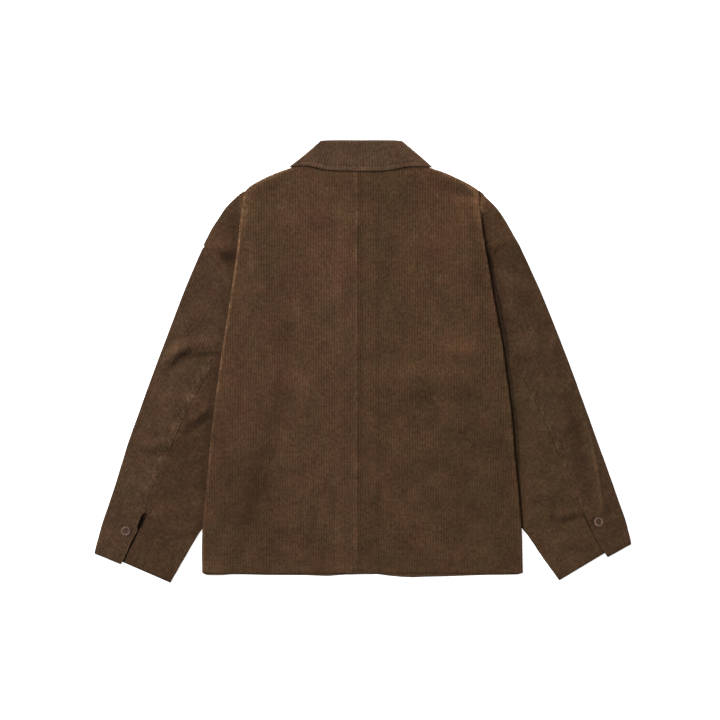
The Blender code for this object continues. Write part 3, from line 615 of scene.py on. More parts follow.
def makeBack(side, name):
    tableStep, steady, fanY = back["tableStep"], back["steadyWidth"], back["fanY"]
    shoulderY, tuckTopY, underarmY = body["shoulderY"], body["tuckTopY"], body["underarmY"]
    lowYs = np.unique([*np.linspace(bodyY[0], tuckTopY, 150), *np.linspace(shoulderY - 14, shoulderY, 15)])
    highYs = np.linspace(tuckTopY + 0.01, bodyY[-1], 26)
    lowOut, lowZ, lowWidth = makeTable(side, lowYs, back["tableWidth"], tableStep)
    highOut, highZ, highWidth = makeTable(side, highYs, back["tableWidth"], tableStep)
    # the side seam runs on into the armhole
    joined = (lowYs > underarmY - 1) & (lowYs < underarmY + 14)
    before = lowWidth[lowYs < underarmY - 1][-1]
    seamWidth = np.where(joined, np.minimum(lowWidth, before + (lowYs - underarmY + 5) * 0.6 + 1), lowWidth)
    shoulderWidth = float(np.interp(shoulderY + 0.5, lowYs, lowWidth))
    columnStep = cloth["waleWidth"] / cloth["waleSteps"]
    columns = np.append(np.arange(0.0, shoulderWidth - columnStep / 2, columnStep), shoulderWidth)

    def clothWidth(y):
        end = np.interp(np.minimum(y, shoulderY), lowYs, seamWidth)
        squeezed = steady + (columns - steady) * (end - steady) / (shoulderWidth - steady)
        return np.where(columns <= steady, columns, squeezed)

    # upper limit of every column: the neck, the shoulder edge, or its run under the side fold
    above = lowYs >= shoulderY
    underFold = np.minimum(np.interp(columns, lowWidth[above][::-1], lowYs[above][::-1]), tuckTopY)
    shoulder = np.interp(columns, highWidth[::-1], highYs[::-1])
    neckReach = body[side]["fold"][-1] - 2
    neckY = body["neckMiddleY"]
    neck = neckY + (bodyY[-1] - neckY) * (columns / (neckReach + 2)) ** 2
    limit = np.where(columns < neckReach, neck, np.where(columns <= highWidth[0], shoulder, underFold))
    # level rows up to the fan, then rows that run out to the limit
    lowRows = [*(bodyY[0] + k for k in (0, 1.5, 4)), *np.arange(bodyY[0] + 9, fanY - 4, back["rowGap"])]
    fanShares = [*np.linspace(0, 0.84, 24), *np.linspace(0.86, 0.98, 10), 0.99, 1.0]
    level = [np.full(len(columns), y) for y in lowRows]
    level = np.array(level + [fanY + (limit - fanY) * share for share in fanShares])
    width = np.array([clothWidth(y) for y in level])
    onHigh = (level > tuckTopY + 0.01) & (width < highWidth[0] + 1)

    def atPlace(high, low):
        highValue = lookUp(high, highYs, tableStep, level, width)
        return np.where(onHigh, highValue, lookUp(low, lowYs, tableStep, level, width))

    out, z = atPlace(highOut, lowOut), atPlace(highZ, lowZ)
    # on top, folded under, or at the shoulder
    foldLine = foldOut(side, level) - 3.2
    onTop = width < foldLine + 0.6
    atShoulder = (width > 2 * foldLine - tuckOut(side, level) + 10.5) & ~onHigh
    # the shoulder edge runs on under the top of the side fold
    edgeEnd, tuckEnd = body[side]["edge"][-1], body[side]["tuck"][-1]
    slope = (bodyY[17] - bodyY[16]) / (edgeEnd - body[side]["fold"][17])
    lift = np.clip(edgeEnd - out, 0, 20) * slope * ramp(level, 246, 273) * ramp(out - tuckEnd, 0.3, 4.3)
    x, y = centreX + side * out, level + lift * atShoulder
    z = z + backRise(side, x, level, out) * onTop
    # the shoulder part lies softly and dips to its armhole seam
    toArmhole = np.abs(edgeOut(side, level) - out)
    fromFold = out - foldOut(side, level)
    rise = back["shoulderRise"] + 0.6 * waves(x, y, 23 + side, 60) + 0.35 * crumple(x, y, 27, 22)
    rise = rise * ramp(fromFold, 2, 16)
    if side > 0:
        # at its top the fold comes softly out of the shoulder
        beside = ramp(fromFold, -1.3, 0) * ramp(fromFold, 18, 1)
        rise = rise + back["foldBulge"] * beside * ramp(level, 234, 248) * ramp(level, 270, 258)
    rise = rise * ramp(toArmhole, 0, 10) - back["armholeDip"] * bump(toArmhole, 3.0) * (y < shoulderY)
    z = z + rise * atShoulder
    wear_and_highlight = backWearAndHighlight(side, x, level, out, onTop, width < foldLine + 5, atShoulder)
    # a lighter line along the rolled shoulder edge: rubbing with painted highlight
    wear_and_highlight = strongest(wear_and_highlight, back[side]["shoulderWearAndHighlight"] * bump(limit - level, 3.0) * (columns > neckReach))
    shade = backShade(side, level, out, onTop, atShoulder)
    wander = 0.75 * waves(x, level, 91, 70) + 0.45 * waves(x, level, 93, 26)
    top = grid7(x, y, z, width + wander, y, wear_and_highlight, shade)
    # the rolled shoulder edge
    tip = atShoulder[-1] * ramp(out[-1] - tuckEnd, 1, 5)
    if side < 0:
        tip = tip * ramp(columns - lowWidth[-1], 0, 6)
    rolled = np.where(columns < highWidth[0] - 1, 1.0, tip)
    rolled = rolled * ramp(limit - shoulderY, 1, 13) * ramp(columns - neckReach, 0, 6)
    whole = np.concatenate([top, rollEdge(side, top[-1], columns, rolled)])
    return makeShell(name, [whole[:, ::side]])


def makeFront(side, name):
    ys = np.unique([*np.linspace(bodyY[0], bodyY[-1], 62), body["underarmY"], body["tuckTopY"]])
    main, folding, arm = [], [], []
    for y in ys:
        outs, zs, flat = bodySection(side, y, False, 2)
        x, rowY = centreX + side * outs, y - neckDrop(side, y, outs)
        wear_and_highlight, shade = 0.0, 0.5
        if y == ys[0]:
            # the strip that shows below the back
            fold = foldOut(side, y)
            rowY = rowY - np.interp(x, *body["frontHem"]) * ramp(outs, fold + 2, fold - 10)
            wear_and_highlight, shade = 0.8, 0.0
        row = grid7(x, rowY, zs, runAlong(outs, zs), rowY, wear_and_highlight, shade)
        tuck = flat + 21    # ten points round the fold and eleven to the tuck
        main.append(row[:flat])
        if y <= body["tuckTopY"]:
            folding.append(row[flat - 1:tuck])
        if body["underarmY"] <= y <= body["tuckTopY"]:
            arm.append(row[tuck - 1:])
    # the outside faces the floor
    return makeShell(name, [np.array(grid)[:, ::-side] for grid in (main, folding, arm)], 0.35)


print("body shapes ready")
backLeft = makeBack(-1, "backLeftCloth")
backRight = makeBack(1, "backRightCloth")
frontLeft = makeFront(-1, "frontLeftCloth")
frontRight = makeFront(1, "frontRightCloth")
print("back and fronts made", [len(p.data.polygons) for p in (backLeft, backRight, frontLeft, frontRight)])


# rows are counted down from the armhole, and the cuff's end is row 9
sleeves = {
    "frontSeam": 0.8,
    "underlap": 12.0,
    "ventRow": 7.0,
    "rowGap": 4.0,
    "hemRows": (7.6, 9.0),  # where the hem's own drop begins and ends
    "rise": 1.3,            # how softly the upper ply lies on the lower one
    "creaseShare": 1.7,
    "seamSwell": 0.9,
    "seamDepth": 0.3,
    "allowance": 0.4,
    "flapRise": 2.1,
    "ventGap": 3.4,
    "ventLift": 0.9,
    "armholeRise": 0.95,
    "armholeDip": 0.3,
    "upper": {
        "width": 118.0, "puckerReach": {-1: 11, 1: 7}, "puckerHeight": 1.15,
        "seamWearAndHighlight": 1.0, "puckerHighlight": 1.0, "puckerShade": 1.0, "foldWearAndHighlight": 0.4, "foldShade": 0.0,
    },
    "under": {
        "width": 96.0, "puckerReach": {-1: 5, 1: 5}, "puckerHeight": 0.45,
        "seamWearAndHighlight": 0.5, "puckerHighlight": 0.25, "puckerShade": 0.4, "foldWearAndHighlight": 0.0, "foldShade": 0.4,
    },
    -1: {
        "outer": [(-292.9, 118.0), (-317.6, 53.6), (-342.4, -12.4), (-367.1, -80.0), (-388.6, -141.1),
                  (-406.7, -200.5), (-416.6, -230.2), (-429.8, -269.8), (-441.6, -315.6)],
        "seam": [(-220.3, 28.9), (-245.8, -6.6), (-274.4, -56.4), (-301.9, -110.5), (-325.9, -166.6),
                 (-350.3, -221.9), (-358.9, -251.6), (-373.7, -286.3), (-396.8, -333.3)],
        "inner": [(-162.5, -40.4), (-165.8, -78.4), (-175.7, -119.6), (-192.2, -162.5), (-217.0, -210.4),
                  (-250.0, -259.9), (-268.1, -283.0), (-287.9, -316.0), (-316.0, -364.6)],
        "grainTurn": 21.5,
        "hemDrop": 3.3,
        "underHem": (-1.0, 2.6),
        "foldInset": (1.35, 3.4),   # how far the ply ends before its fold, and how much more at the armhole
        "ventOpen": 1.0,
        "ventShade": (1.25, 2.3),   # how dark the open vent is, and how wide
        "pulls": 1.0,
    },
    1: {
        "outer": [(291.6, 118.0), (317.8, 53.6), (342.8, -10.7), (367.5, -78.4), (389.8, -141.1),
                  (409.2, -193.9), (422.9, -233.5), (435.2, -269.8), (440.8, -299.3)],
        "seam": [(221.9, 33.8), (250.0, -2.5), (278.0, -53.6), (305.6, -109.7), (327.5, -165.0),
                 (349.0, -214.5), (365.5, -253.3), (382.0, -287.9), (401.3, -320.6)],
        "inner": [(162.5, -45.4), (165.0, -81.7), (175.7, -124.6), (192.2, -167.5), (217.0, -215.3),
                  (246.7, -256.6), (271.4, -286.3), (296.2, -322.6), (323.4, -359.7)],
        "grainTurn": -21.5,
        "hemDrop": 5.0,
        "underHem": (-3.0, 3.6),
        "foldInset": (0.75, 0.0),
        "ventOpen": 0.22,
        "ventShade": (1.0, 1.7),
        "pulls": 0.45,
    },
}

button = {
    "places": {"Left": (-390.2, -281.3), "Right": (389.6, -266.1)},
    "underside": 5.05,
    "width": 15.8,
    "height": 2.6,
    "rim": 3.3,
    "well": 1.3,
    "hole": 1.9,
    "spacing": 3.5,
    "turn": 65.0,           # of the holes, in degrees
    "strand": 0.32,
}

# soft creases of each sleeve: height, width, then the places that each runs through
sleeveCreases = {
    -1: [
        (2.6, 9, (-332, -6), (-308, 14), (-284, 26), (-258, 27), (-232, 25)),
        (-1.8, 7, (-322, -20), (-304, -4), (-284, 10), (-256, 12), (-236, 11)),
        (1.6, 12, (-305, 72), (-285, 50), (-262, 52)), (1.9, 6, (-360, -136), (-341, -140), (-320, -134)),
        (-1.7, 4.5, (-364, -146), (-342, -155), (-320, -147)),
        (2.0, 8, (-292, -108), (-268, -86), (-244, -66)), (-1.6, 7, (-296, -122), (-270, -105), (-246, -88)),
        (1.5, 8, (-360, -252), (-340, -259), (-315, -263)),
        (1.3, 8, (-316, -284), (-295, -280), (-274, -284)),
        (1.0, 9, (-400, -196), (-386, -214), (-384, -240)), (1.3, 12, (-300, -60), (-330, -64), (-350, -52)),
        (1.3, 12, (-260, -190), (-286, -196), (-312, -186)),
        (0.8, 12, (-395, -290), (-372, -300), (-350, -318)),
    ],
    1: [
        (1.8, 6, (222, 172), (240, 184), (262, 190)), (1.6, 15, (252, 98), (282, 62), (304, 56)),
        (1.5, 13, (238, 4), (268, 14), (306, 8)), (1.3, 12, (286, -42), (322, -46), (352, -34)),
        (2.0, 5, (367, -90), (380, -152), (388.5, -205), (393, -244)),
        (-1.6, 12, (344, -70), (354, -130), (372, -190)), (1.7, 7, (312, -252), (338, -254), (368, -243)),
        (-1.1, 6, (308, -264), (338, -267), (366, -257)), (1.4, 12, (262, -150), (290, -148), (318, -136)),
        (1.1, 11, (300, -100), (332, -110), (362, -96)), (1.1, 12, (268, -230), (292, -222), (330, -226)),
        (1.0, 9, (404, -226), (398, -250), (408, -276)),
    ],
}


def armhole(side, shares):
    # places on the armhole, from the shoulder point at 0 to the underarm at 1
    y = np.interp(np.asarray(shares, float) * 6, np.arange(7), bodyY[12:5:-1])
    return np.stack([centreX + side * edgeOut(side, np.minimum(y, bodyY[12] - 1e-6)), y], -1)


def alongRows(rows, spacing):
    # rows of control points; returns closely spaced rows through them, each one's row number and its place
    rows = np.asarray(rows, float)
    gaps = np.hypot(*np.moveaxis(np.diff(rows, axis=0), -1, 0)).mean(axis=1)
    at = np.concatenate([[0], np.cumsum(gaps)])
    count = int(at[-1] / spacing)
    fine = np.linspace(0, at[-1], count + 1)
    out = np.empty((count + 1, rows.shape[1], 2))
    for column in range(rows.shape[1]):
        for axis in range(2):
            out[:, column, axis] = curveThrough(at, rows[:, column, axis], fine)
    return out, np.interp(fine, at, np.arange(len(at))), fine


def sleevePlan(side, isUpper, shares):
    # plan of a ply from the back seam to one of its folds, rows down the sleeve
    data = sleeves[side]
    seam = 4 / 6
    rows = [armhole(side, seam + ((0 if isUpper else 1) - seam) * shares)]
    for start, end in zip(data["seam"], data["outer" if isUpper else "inner"]):
        rows.append(between(start, end, shares[:, None]))
    return alongRows(rows, sleeves["rowGap"])


def pastFold(side, x, y):
    # how far outside the body's side fold a place lies
    return side * (x - centreX) - foldOut(side, y)


def underBody(side, x, y):
    # 0 where the body lies on the sleeve, 1 well clear of it
    return ramp(pastFold(side, x, y), 1, 17)


def sleeveRise(side, x, y, row):
    rise = sleeves["rise"] + 0.5 * waves(x, y, 41 + side, 95) + 0.3 * waves(x, y, 47 + side, 34)
    rise = rise + 0.75 * crumple(x, y, 63 + side, 32) + 0.34 * crumple(x, y, 73 + side, 16)
    rise = rise + sleeves["creaseShare"] * folds(x, y, sleeveCreases[side])
    ends = ramp(row, 0, 0.5) * ramp(row, 9, 8.65)
    return np.maximum(rise, 0.05) * underBody(side, x, y) * (0.25 + 0.75 * ends)


def ventOpening(side, row):
    # how far the cuff's vent stands open
    past = row - sleeves["ventRow"]
    opened = ramp(past, 0, 0.08) * ramp(past, 0.84, 0.58) + 0.3 * bump(past - 1.25, 0.26)
    return opened * sleeves[side]["ventOpen"]


def buttonDimple(side, x, y):
    # distance from the cuff's button, and how far toward the vent a place lies, from -1 to 1
    place = button["places"]["Left" if side < 0 else "Right"]
    distance = np.hypot(x - place[0], y - place[1])
    return distance, -side * (x - place[0] + side * 0.4 * (y - place[1])) / np.maximum(distance, 0.1) / 1.08


def placeSleeve(side, isUpper, shares):
    # the seen ply: places, rows, distance down the sleeve and from the back seam, and the way across and down
    data = sleeves[side]
    plan, row, v = sleevePlan(side, isUpper, shares)
    # its edge lies on the shoulder's where both can be seen, and the cuff hangs a little lower
    seen = ramp(pastFold(side, *plan[0].T), -4, 0)
    plan[0] += unit(plan[0] - plan[1]) * (2.1 * seen - 0.5 * (1 - seen))[:, None]
    down = unit(np.subtract(data["seam"][-1], data["seam"][-2]))
    drop = np.full(len(shares), data["hemDrop"]) if isUpper else np.interp(shares, [0, 1], data["underHem"])
    plan += (ramp(row, *sleeves["hemRows"])[:, None] * drop)[..., None] * down
    across = plan[:, -1] - plan[:, 0]
    widths = np.linalg.norm(across, axis=1, keepdims=True)
    always, atArmhole = data["foldInset"]
    begin, end = 0.12, widths - always - atArmhole * bump(v, 3)[:, None]
    if not isUpper:
        ventRow = sleeves["ventRow"]
        begin = begin - sleeves["underlap"] * ramp(row, ventRow + 0.05, ventRow + 0.2)[:, None]
    fromSeam = begin + (end - begin) * shares
    place = plan + across[:, None] * (fromSeam / widths - shares)[..., None]
    return place, row, v, fromSeam, across / widths, down


def turnPly(look, direction, start, z, u, v, steps=9):
    # half turn from the upper ply to the lower one
    radius = 0.5 * pitch
    turned = []
    for k in range(1, steps + 1):
        angle = math.pi * k / steps
        x, y = (start + direction * (radius * math.sin(angle))).T
        height = ply(2) - radius * (1 - math.cos(angle)) + (z - ply(2)) * (1 + math.cos(angle)) / 2
        # the turned edge is lighter from rubbing and painted highlight on the upper piece, and gets painted
        # shade on the under piece
        turned.append(grid7(x, y, height, u + radius * angle, v, look["foldWearAndHighlight"], look["foldShade"]))
    return np.stack(turned, 1)


def lowerPly(side, start, u, v, hold):
    # the ply underneath, from a fold to the front seam; it keeps a little back from the hem
    data = sleeves[side]
    frontLine = [armhole(side, 5 / 6), *between(data["outer"], data["inner"], sleeves["frontSeam"])]
    frontPlan = alongRows(np.asarray(frontLine)[:, None, :], 5.0)[0][:, 0]
    at, has = np.linspace(0, 1, len(start)), np.linspace(0, 1, len(frontPlan))
    toward = np.stack([np.interp(at, has, frontPlan[:, axis]) for axis in range(2)], -1) - start
    length = np.linalg.norm(toward, axis=1, keepdims=True)
    toward = toward * (1 - 0.4 / np.maximum(length, 1))
    lower = []
    for share in np.linspace(0, 1, 15)[1:]:
        held = data["hemDrop"] * (1 - share) + 4.5 * (1 - share ** 2)
        x, y = (start + toward * share - hold * held * float(ramp(share, 0, 0.12))).T
        lower.append(grid7(x, y, ply(1), u + length[:, 0] * share, v, 0.0, 0.4))
    return np.stack(lower, 1)


def makeSleevePiece(side, name, isUpper):
    data, look, ventRow = sleeves[side], sleeves["upper" if isUpper else "under"], sleeves["ventRow"]
    shares = np.linspace(0, 1, int(look["width"] / cloth["waleWidth"] * cloth["waleSteps"]))
    place, rowNumber, v, fromSeam, direction, down = placeSleeve(side, isUpper, shares)
    x, y = place[..., 0], place[..., 1]
    row, downSeam = rowNumber[:, None] + 0 * x, v[:, None] + 0 * x
    clear = underBody(side, x, y)
    sewn = ramp(row, ventRow, ventRow - 0.1) * clear
    z = ply(2) + sleeveRise(side, x, y, row)
    # the back seam: a stitched valley, with the allowance under the upper piece
    reach = look["puckerReach"][side]
    pucker = waves(downSeam + 0.6 * fromSeam, 0.35 * fromSeam, 9 + side, 9)
    pucker = pucker * bump(fromSeam - 0.4 * reach, reach)
    swell = waves(downSeam - 0.5 * fromSeam, 0 * x, 19 + side, 30) * bump(fromSeam - 5, 10)
    relief = look["puckerHeight"] * pucker + sleeves["seamSwell"] * swell
    z = z + (relief - sleeves["seamDepth"] * bump(fromSeam, 1.3)) * sewn
    if isUpper:
        # the allowance, the vent's flap with its button, and the open vent
        flap = ramp(row, ventRow - 0.2, ventRow + 0.05)
        fromButton, towardVent = buttonDimple(side, x, y)
        opened = ventOpening(side, row)
        z = z + sleeves["allowance"] * ramp(fromSeam, 11, 7) * ramp(fromSeam, 0.5, 2.5) * sewn
        z = z + sleeves["flapRise"] * flap * ramp(fromSeam, 30, 16)
        z = z + sleeves["ventLift"] * opened * ramp(fromSeam, 14, 0)
        z = z - 0.5 * bump(fromButton, 9) + 0.45 * bump(fromButton - 13, 4)
        move = sleeves["ventGap"] * opened * ramp(fromSeam, 16, 0)
        x, y = x + direction[:, :1] * move, y + direction[:, 1:] * move
    # small pulls running out from the top of the vent
    ventX, ventY = data["seam"][int(ventRow) - 1]
    around = np.arctan2(y - ventY, x - ventX)
    pulls = np.cos(17 * around + 1.5 * waves(x, y, 33, 20)) * bump(np.hypot(x - ventX, y - ventY) - 12, 9)
    pulls = pulls * ramp(row, 7.1, 6.9) * data["pulls"]
    # the armhole seam, raised where it shows
    lapped = ramp(pastFold(side, x, y), -4, 0)
    raised = sleeves["armholeRise"] * ramp(downSeam, 5.5, 1.5) - 0.15 * bump(downSeam, 1.2)
    z = z + 0.5 * pulls + raised * lapped - sleeves["armholeDip"] * bump(downSeam - 9, 3.0) * clear
    # lighter: rubbing with painted highlight beside the seam and along the armhole seam, painted highlights
    # on pucker and pull crests; painted shade in the seam's valley, the troughs, at the hem's edge and beside
    # the body's fold
    broken = np.clip(0.5 + 0.6 * waves(downSeam, 0 * x, 29, 14), 0, 1) + 0.9 * bump(downSeam - 175, 22)
    seamWearAndHighlight = 0.5 * bump(fromSeam - 2.4, 1.6) * (1 - 0.7 * np.clip(broken, 0, 1)) * look["seamWearAndHighlight"]
    wear_and_highlight = strongest(seamWearAndHighlight * sewn, look["puckerHighlight"] * np.clip(pucker, 0, 1) * sewn,
                     0.55 * np.clip(pulls, 0, 1), 0.3 * bump(downSeam - 3.5, 1.6) * clear)
    shade = strongest(0.42 * bump(fromSeam, 1.1) * sewn * broken, 0.14 * bump(downSeam, 1.4),
                      0.4 * np.clip(-pucker, 0, 1) * sewn * look["puckerShade"], 0.4 * np.clip(-pulls, 0, 1),
                      0.55 * bump(v[-1] - downSeam, 1.5), foldShade(side, side * (x - centreX), y))
    if isUpper:
        wear_and_highlight = strongest(wear_and_highlight, 0.5 * flap * bump(fromSeam, 1.6))
        shade = strongest(shade, 0.7 * bump(fromButton - 9.7, 1.7) * ramp(towardVent, 0.1, 0.7))
    else:
        inVent = ramp(row, ventRow - 0.02, ventRow + 0.04)
        depth, opening = data["ventShade"]
        opening = opening + 2.6 * ventOpening(side, row)
        shade = strongest(shade, depth * inVent * ramp(fromSeam, opening, opening - 1.6))
        z = z - 0.35 * inVent * bump(fromSeam, 3)
    turnBy = math.radians(data["grainTurn"])
    u = x * math.cos(turnBy) - y * math.sin(turnBy) + 0.7 * waves(x, y, 95, 60) + 0.4 * waves(x, y, 97, 24)
    along = x * math.sin(turnBy) + y * math.cos(turnBy)
    start, foldU, foldV = place[:, -1], u[:, -1], along[:, -1]
    hold = ramp(rowNumber, *sleeves["hemRows"])[:, None] * down * isUpper
    whole = np.concatenate([grid7(x, y, z, u, along, wear_and_highlight, shade),
                            turnPly(look, direction, start, z[:, -1], foldU, foldV),
                            lowerPly(side, start, foldU, foldV, hold)], 1)
    return makeShell(name, [whole[:, ::-side if isUpper else side]])


sleevePieces = {}
for side, word in sides:
    sleevePieces["upper" + word] = makeSleevePiece(side, "sleeveUpper" + word + "Cloth", True)
    sleevePieces["under" + word] = makeSleevePiece(side, "sleeveUnder" + word + "Cloth", False)
print("sleeves made", [len(p.data.polygons) for p in sleevePieces.values()])


def collarCourse(side, across):
    # one line along the collar: its places on the back, the corner of the neck and the front point
    data = collar[side]
    back = between(data["top"][:-1], data["edge"][:-1], across)
    corner = np.array([curveThrough(np.linspace(0, 1, 4), line, across) for line in zip(*data["side"])])
    return back, corner, between(collar["pointTop"], collar["pointEdge"], across)


def collarLine(course, plyNumber, backSteps, turnSteps, pointSteps):
    # places and heights from the centre back, round the neck's side, to the front point
    back, corner, points = course
    radius = (plyNumber - collar["middlePly"]) * pitch
    direction = unit(corner - back[-1])
    start = corner - direction * ((4.0 - plyNumber) * pitch + radius + 0.65)
    stations = np.array([*back, start])
    at = runAlong(*stations.T)
    fine = np.linspace(0, at[-1], backSteps)
    line = np.stack([curveThrough(at, stations[:, axis], fine) for axis in range(2)], -1)
    angles = np.linspace(0, math.pi, turnSteps + 1)[1:]
    turned = start + direction * (radius * np.sin(angles))[:, None]
    turnedZ = ply(plyNumber) - radius * (1 - np.cos(angles))
    points = np.array([turned[-1], *points])
    at = runAlong(*points.T)
    fine = np.linspace(0, at[-1], pointSteps + 1)[1:]
    under = np.stack([np.interp(fine, at, points[:, axis]) for axis in range(2)], -1)
    z = [np.full(backSteps, ply(plyNumber)), turnedZ, np.full(pointSteps, ply(5 - plyNumber))]
    return np.concatenate([line, turned, under]), np.concatenate(z)


fall = {
    "steps": (128, 10, 26),     # across the back, round the turn and along the point
    "puff": 0.9,
    "stitchDepth": 0.3,
    "borderRise": 0.35,
    "edgeDrop": 0.5,
    "edgeWear": 0.5,
    "borderWear": 0.28,
    "foldWearAndHighlight": 0.65,
    "turnWear": 0.6,
    "insideWear": 0.7,
    "stitchShade": 0.2,
}


def fallRow(side, across, plyNumber):
    backSteps, turnSteps, pointSteps = fall["steps"]
    hidden = [0.0] * pointSteps
    onTop = np.array([1.0] * backSteps + [*np.linspace(1, 0, turnSteps)] + hidden)
    atTurn = np.array([0.0] * (backSteps - 6) + [*np.linspace(0, 1, 6)] + [0.8] * turnSteps + hidden)
    place, z = collarLine(collarCourse(side, across), plyNumber, *fall["steps"])
    fromFold, fromEdge = across * collar["fallWidth"], (1 - across) * collar["fallWidth"]
    # the ribs fan out half way from the back to the points
    outX, y = place[:backSteps].T
    fan = np.linspace(0, 1, backSteps) * 20 * cloth["waleWidth"]
    u = between(outX, fan, 0.5) + 0.6 * waves(outX, y, 99, 40)
    u = np.array([*u, *(u[-1] + 0.8 * np.arange(1, turnSteps + pointSteps + 1))])
    x, y = centreX + side * place[:, 0], place[:, 1]
    shows = onTop * (plyNumber >= 4)
    fromStitch = fromEdge - collar["stitchInset"]
    puff = fall["puff"] * math.sin(math.pi * across) ** 0.6
    puff = puff + 0.25 * waves(x, y, 71, 60) * min(1, fromEdge / 6)
    border = fall["borderRise"] * ramp(fromEdge, 7.2, 6) * ramp(fromEdge, 0, 1.6)
    sunk = fall["stitchDepth"] * bump(fromStitch, 1.1) + fall["edgeDrop"] * bump(fromEdge, 1.0)
    z = z + (puff + border - sunk) * shows
    edge = fall["edgeWear"] * bump(fromEdge, 1.6) + fall["borderWear"] * ramp(fromEdge, 7.4, 5.9)
    inside = fall["insideWear"] * (across < 0.05) * onTop
    # lighter free edge, border strip and turns, and rubbing with painted highlight along the fold line
    wear_and_highlight = strongest(edge * shows + inside * (1 - shows), fall["turnWear"] * atTurn,
                     fall["foldWearAndHighlight"] * bump(fromFold - 1.5, 2.2) * shows)
    return grid7(x, y, z, u * side, fromFold, wear_and_highlight, fall["stitchShade"] * bump(fromStitch, 0.9) * shows)


def standRow(side, share):
    # from a line inside the fall, at 0, to the neck seam, at 1
    across, reach, neckY = 0.12, body[side]["fold"][-1], body["neckMiddleY"]
    back, _, points = collarCourse(side, across)
    corner = [np.interp(across, np.linspace(0, 1, 4), line) for line in zip(*collar[side]["side"])]
    neckBack = [(out * reach, neckY + body["neckDip"] * out ** 2 + 0.9) for out in (0, 0.45, 0.9)]
    neckPoint = []
    for y in (330.0, 311.0, 285.4, 273.1, 251.6, 233.0):
        out = necklineOut(side, y)
        neckPoint.append((out - 1.2, y - neckDrop(side, y, out) + 0.4))
    back, points = between(back, neckBack, share), between(points, neckPoint, share)
    corner = between(corner, (reach + 1.7, 330.9), share)
    corner = corner - unit(corner - back[-1]) * 1.6
    place, z = collarLine((back, corner, points), 3.0, 26, 6, 22)
    u = np.arange(len(z)) * 3.4 * side
    return grid7(centreX + side * place[:, 0], place[:, 1], z, u, share * 32, 0, 0.5)


def makeCollarPiece(name, rowOf, rows, ribbed=1.0):
    grid = np.array([np.concatenate([rowOf(-1, *row)[::-1], rowOf(1, *row)[1:]]) for row in rows])
    grid[:, grid.shape[1] // 2, 0] = centreX
    return makeShell(name, [grid[:, ::-1]], ribbed)


# shares of the way across the fall, each with its ply: inside, round the fold line, then outside
turns = [math.pi * k / 8 for k in range(9)]
fallRows = [(across, 3.0) for across in (0.085, 0.06, 0.04)]
fallRows += [(0.03 - 0.017 * math.sin(angle), 3.5 - 0.5 * math.cos(angle)) for angle in turns]
fallRows += [(across, 4.0) for across in (*np.linspace(0.045, 0.78, 20), *np.linspace(0.79, 0.97, 24))]
fallRows += [(across, 4.0) for across in (0.98, 0.988, 0.995, 1.0)]
collarFall = makeCollarPiece("collarFallCloth", fallRow, fallRows)
standRows = [(share,) for share in np.linspace(0, 1, 12)]
collarStand = makeCollarPiece("collarStandCloth", standRow, standRows, 0.3)
print("collar made", len(collarFall.data.polygons), len(collarStand.data.polygons))


def makeTubes(name, paths, radius, ringSides=6):
    # each path: list of (x, y, z, size) in millimetres, closed at both ends
    vertices, faces = [], []
    for path in paths:
        points = [Vector(p[:3]) for p in path]
        start, last = len(vertices), len(points) - 1
        for k, point in enumerate(points):
            ahead = (points[min(k + 1, last)] - points[max(k - 1, 0)]).normalized()
            level = ahead.cross(Vector((0, 0, 1)))
            if level.length < 1e-4:
                level = Vector((1, 0, 0))
            level.normalize()
            upright = level.cross(ahead)
            for j in range(ringSides):
                angle = math.tau * j / ringSides
                offset = (level * math.cos(angle) + upright * math.sin(angle)) * radius * path[k][3]
                vertices.append(point + offset)
        for k in range(last):
            for j in range(ringSides):
                a, b = start + k * ringSides + j, start + k * ringSides + (j + 1) % ringSides
                faces.append((a, b, b + ringSides, a + ringSides))
        ring = range(start, start + ringSides)
        faces.append(tuple(reversed(ring)))
        faces.append(tuple(v + last * ringSides for v in ring))
    return placeMesh(name, vertices, faces)


sewing = {
    "stitch": 2.7,
    "step": 3.5,
    "thread": 0.26,
    "sink": 0.16,
    "steepest": 1.2,        # no stitch where the cloth rises more than this along it
    # share of half a stitch, thickness and lift of each place along it
    "places": [(-1, 0.5, -0.12), (-0.7, 1.0, 0.12), (0, 1.1, 0.2), (0.7, 1.0, 0.12), (1, 0.5, -0.12)],
    # beside the sleeve's back seam and its vent: how far in, from which row and to which row
    "sleeveLines": [(4.6, 0.9, 7.0), (4.8, 7.12, 8.9)],
    "cuffInset": 18.0,
    "hemY": -329.5,
    "hemReach": {-1: 250, 1: 263},
    "centreInset": 6.0,
}


def walk(path, spacing):
    # evenly spaced places and directions along a path
    x, y = np.asarray(path, float).T
    run = runAlong(x, y)
    at = np.arange(spacing / 2, run[-1], spacing)
    dx, dy = (np.interp(at + 0.5, run, line) - np.interp(at - 0.5, run, line) for line in (x, y))
    size = np.maximum(np.hypot(dx, dy), 1e-6)
    return zip(np.interp(at, run, x), np.interp(at, run, y), dx / size, dy / size)


def sewLines(name, paths, piece):
    mesh = piece.data
    tree = BVHTree.FromPolygons([v.co for v in mesh.vertices], [face.vertices for face in mesh.polygons])
    half = sewing["stitch"] / 2
    stitches = []
    for path in paths:
        for x, y, dx, dy in walk(path, sewing["step"]):
            stitch = []
            for share, size, lift in sewing["places"]:
                px, py = x + dx * half * share, y + dy * half * share
                hit = tree.ray_cast(Vector((px * mm, py * mm, 0.08)), Vector((0, 0, -1)))[0]
                if hit is not None:
                    stitch.append((px, py, hit.z / mm + lift - sewing["sink"], size))
            heights = [place[2] for place in stitch]
            if len(stitch) == 5 and max(heights) - min(heights) < sewing["steepest"]:
                stitches.append(stitch)
    return makeTubes(name, stitches, sewing["thread"])


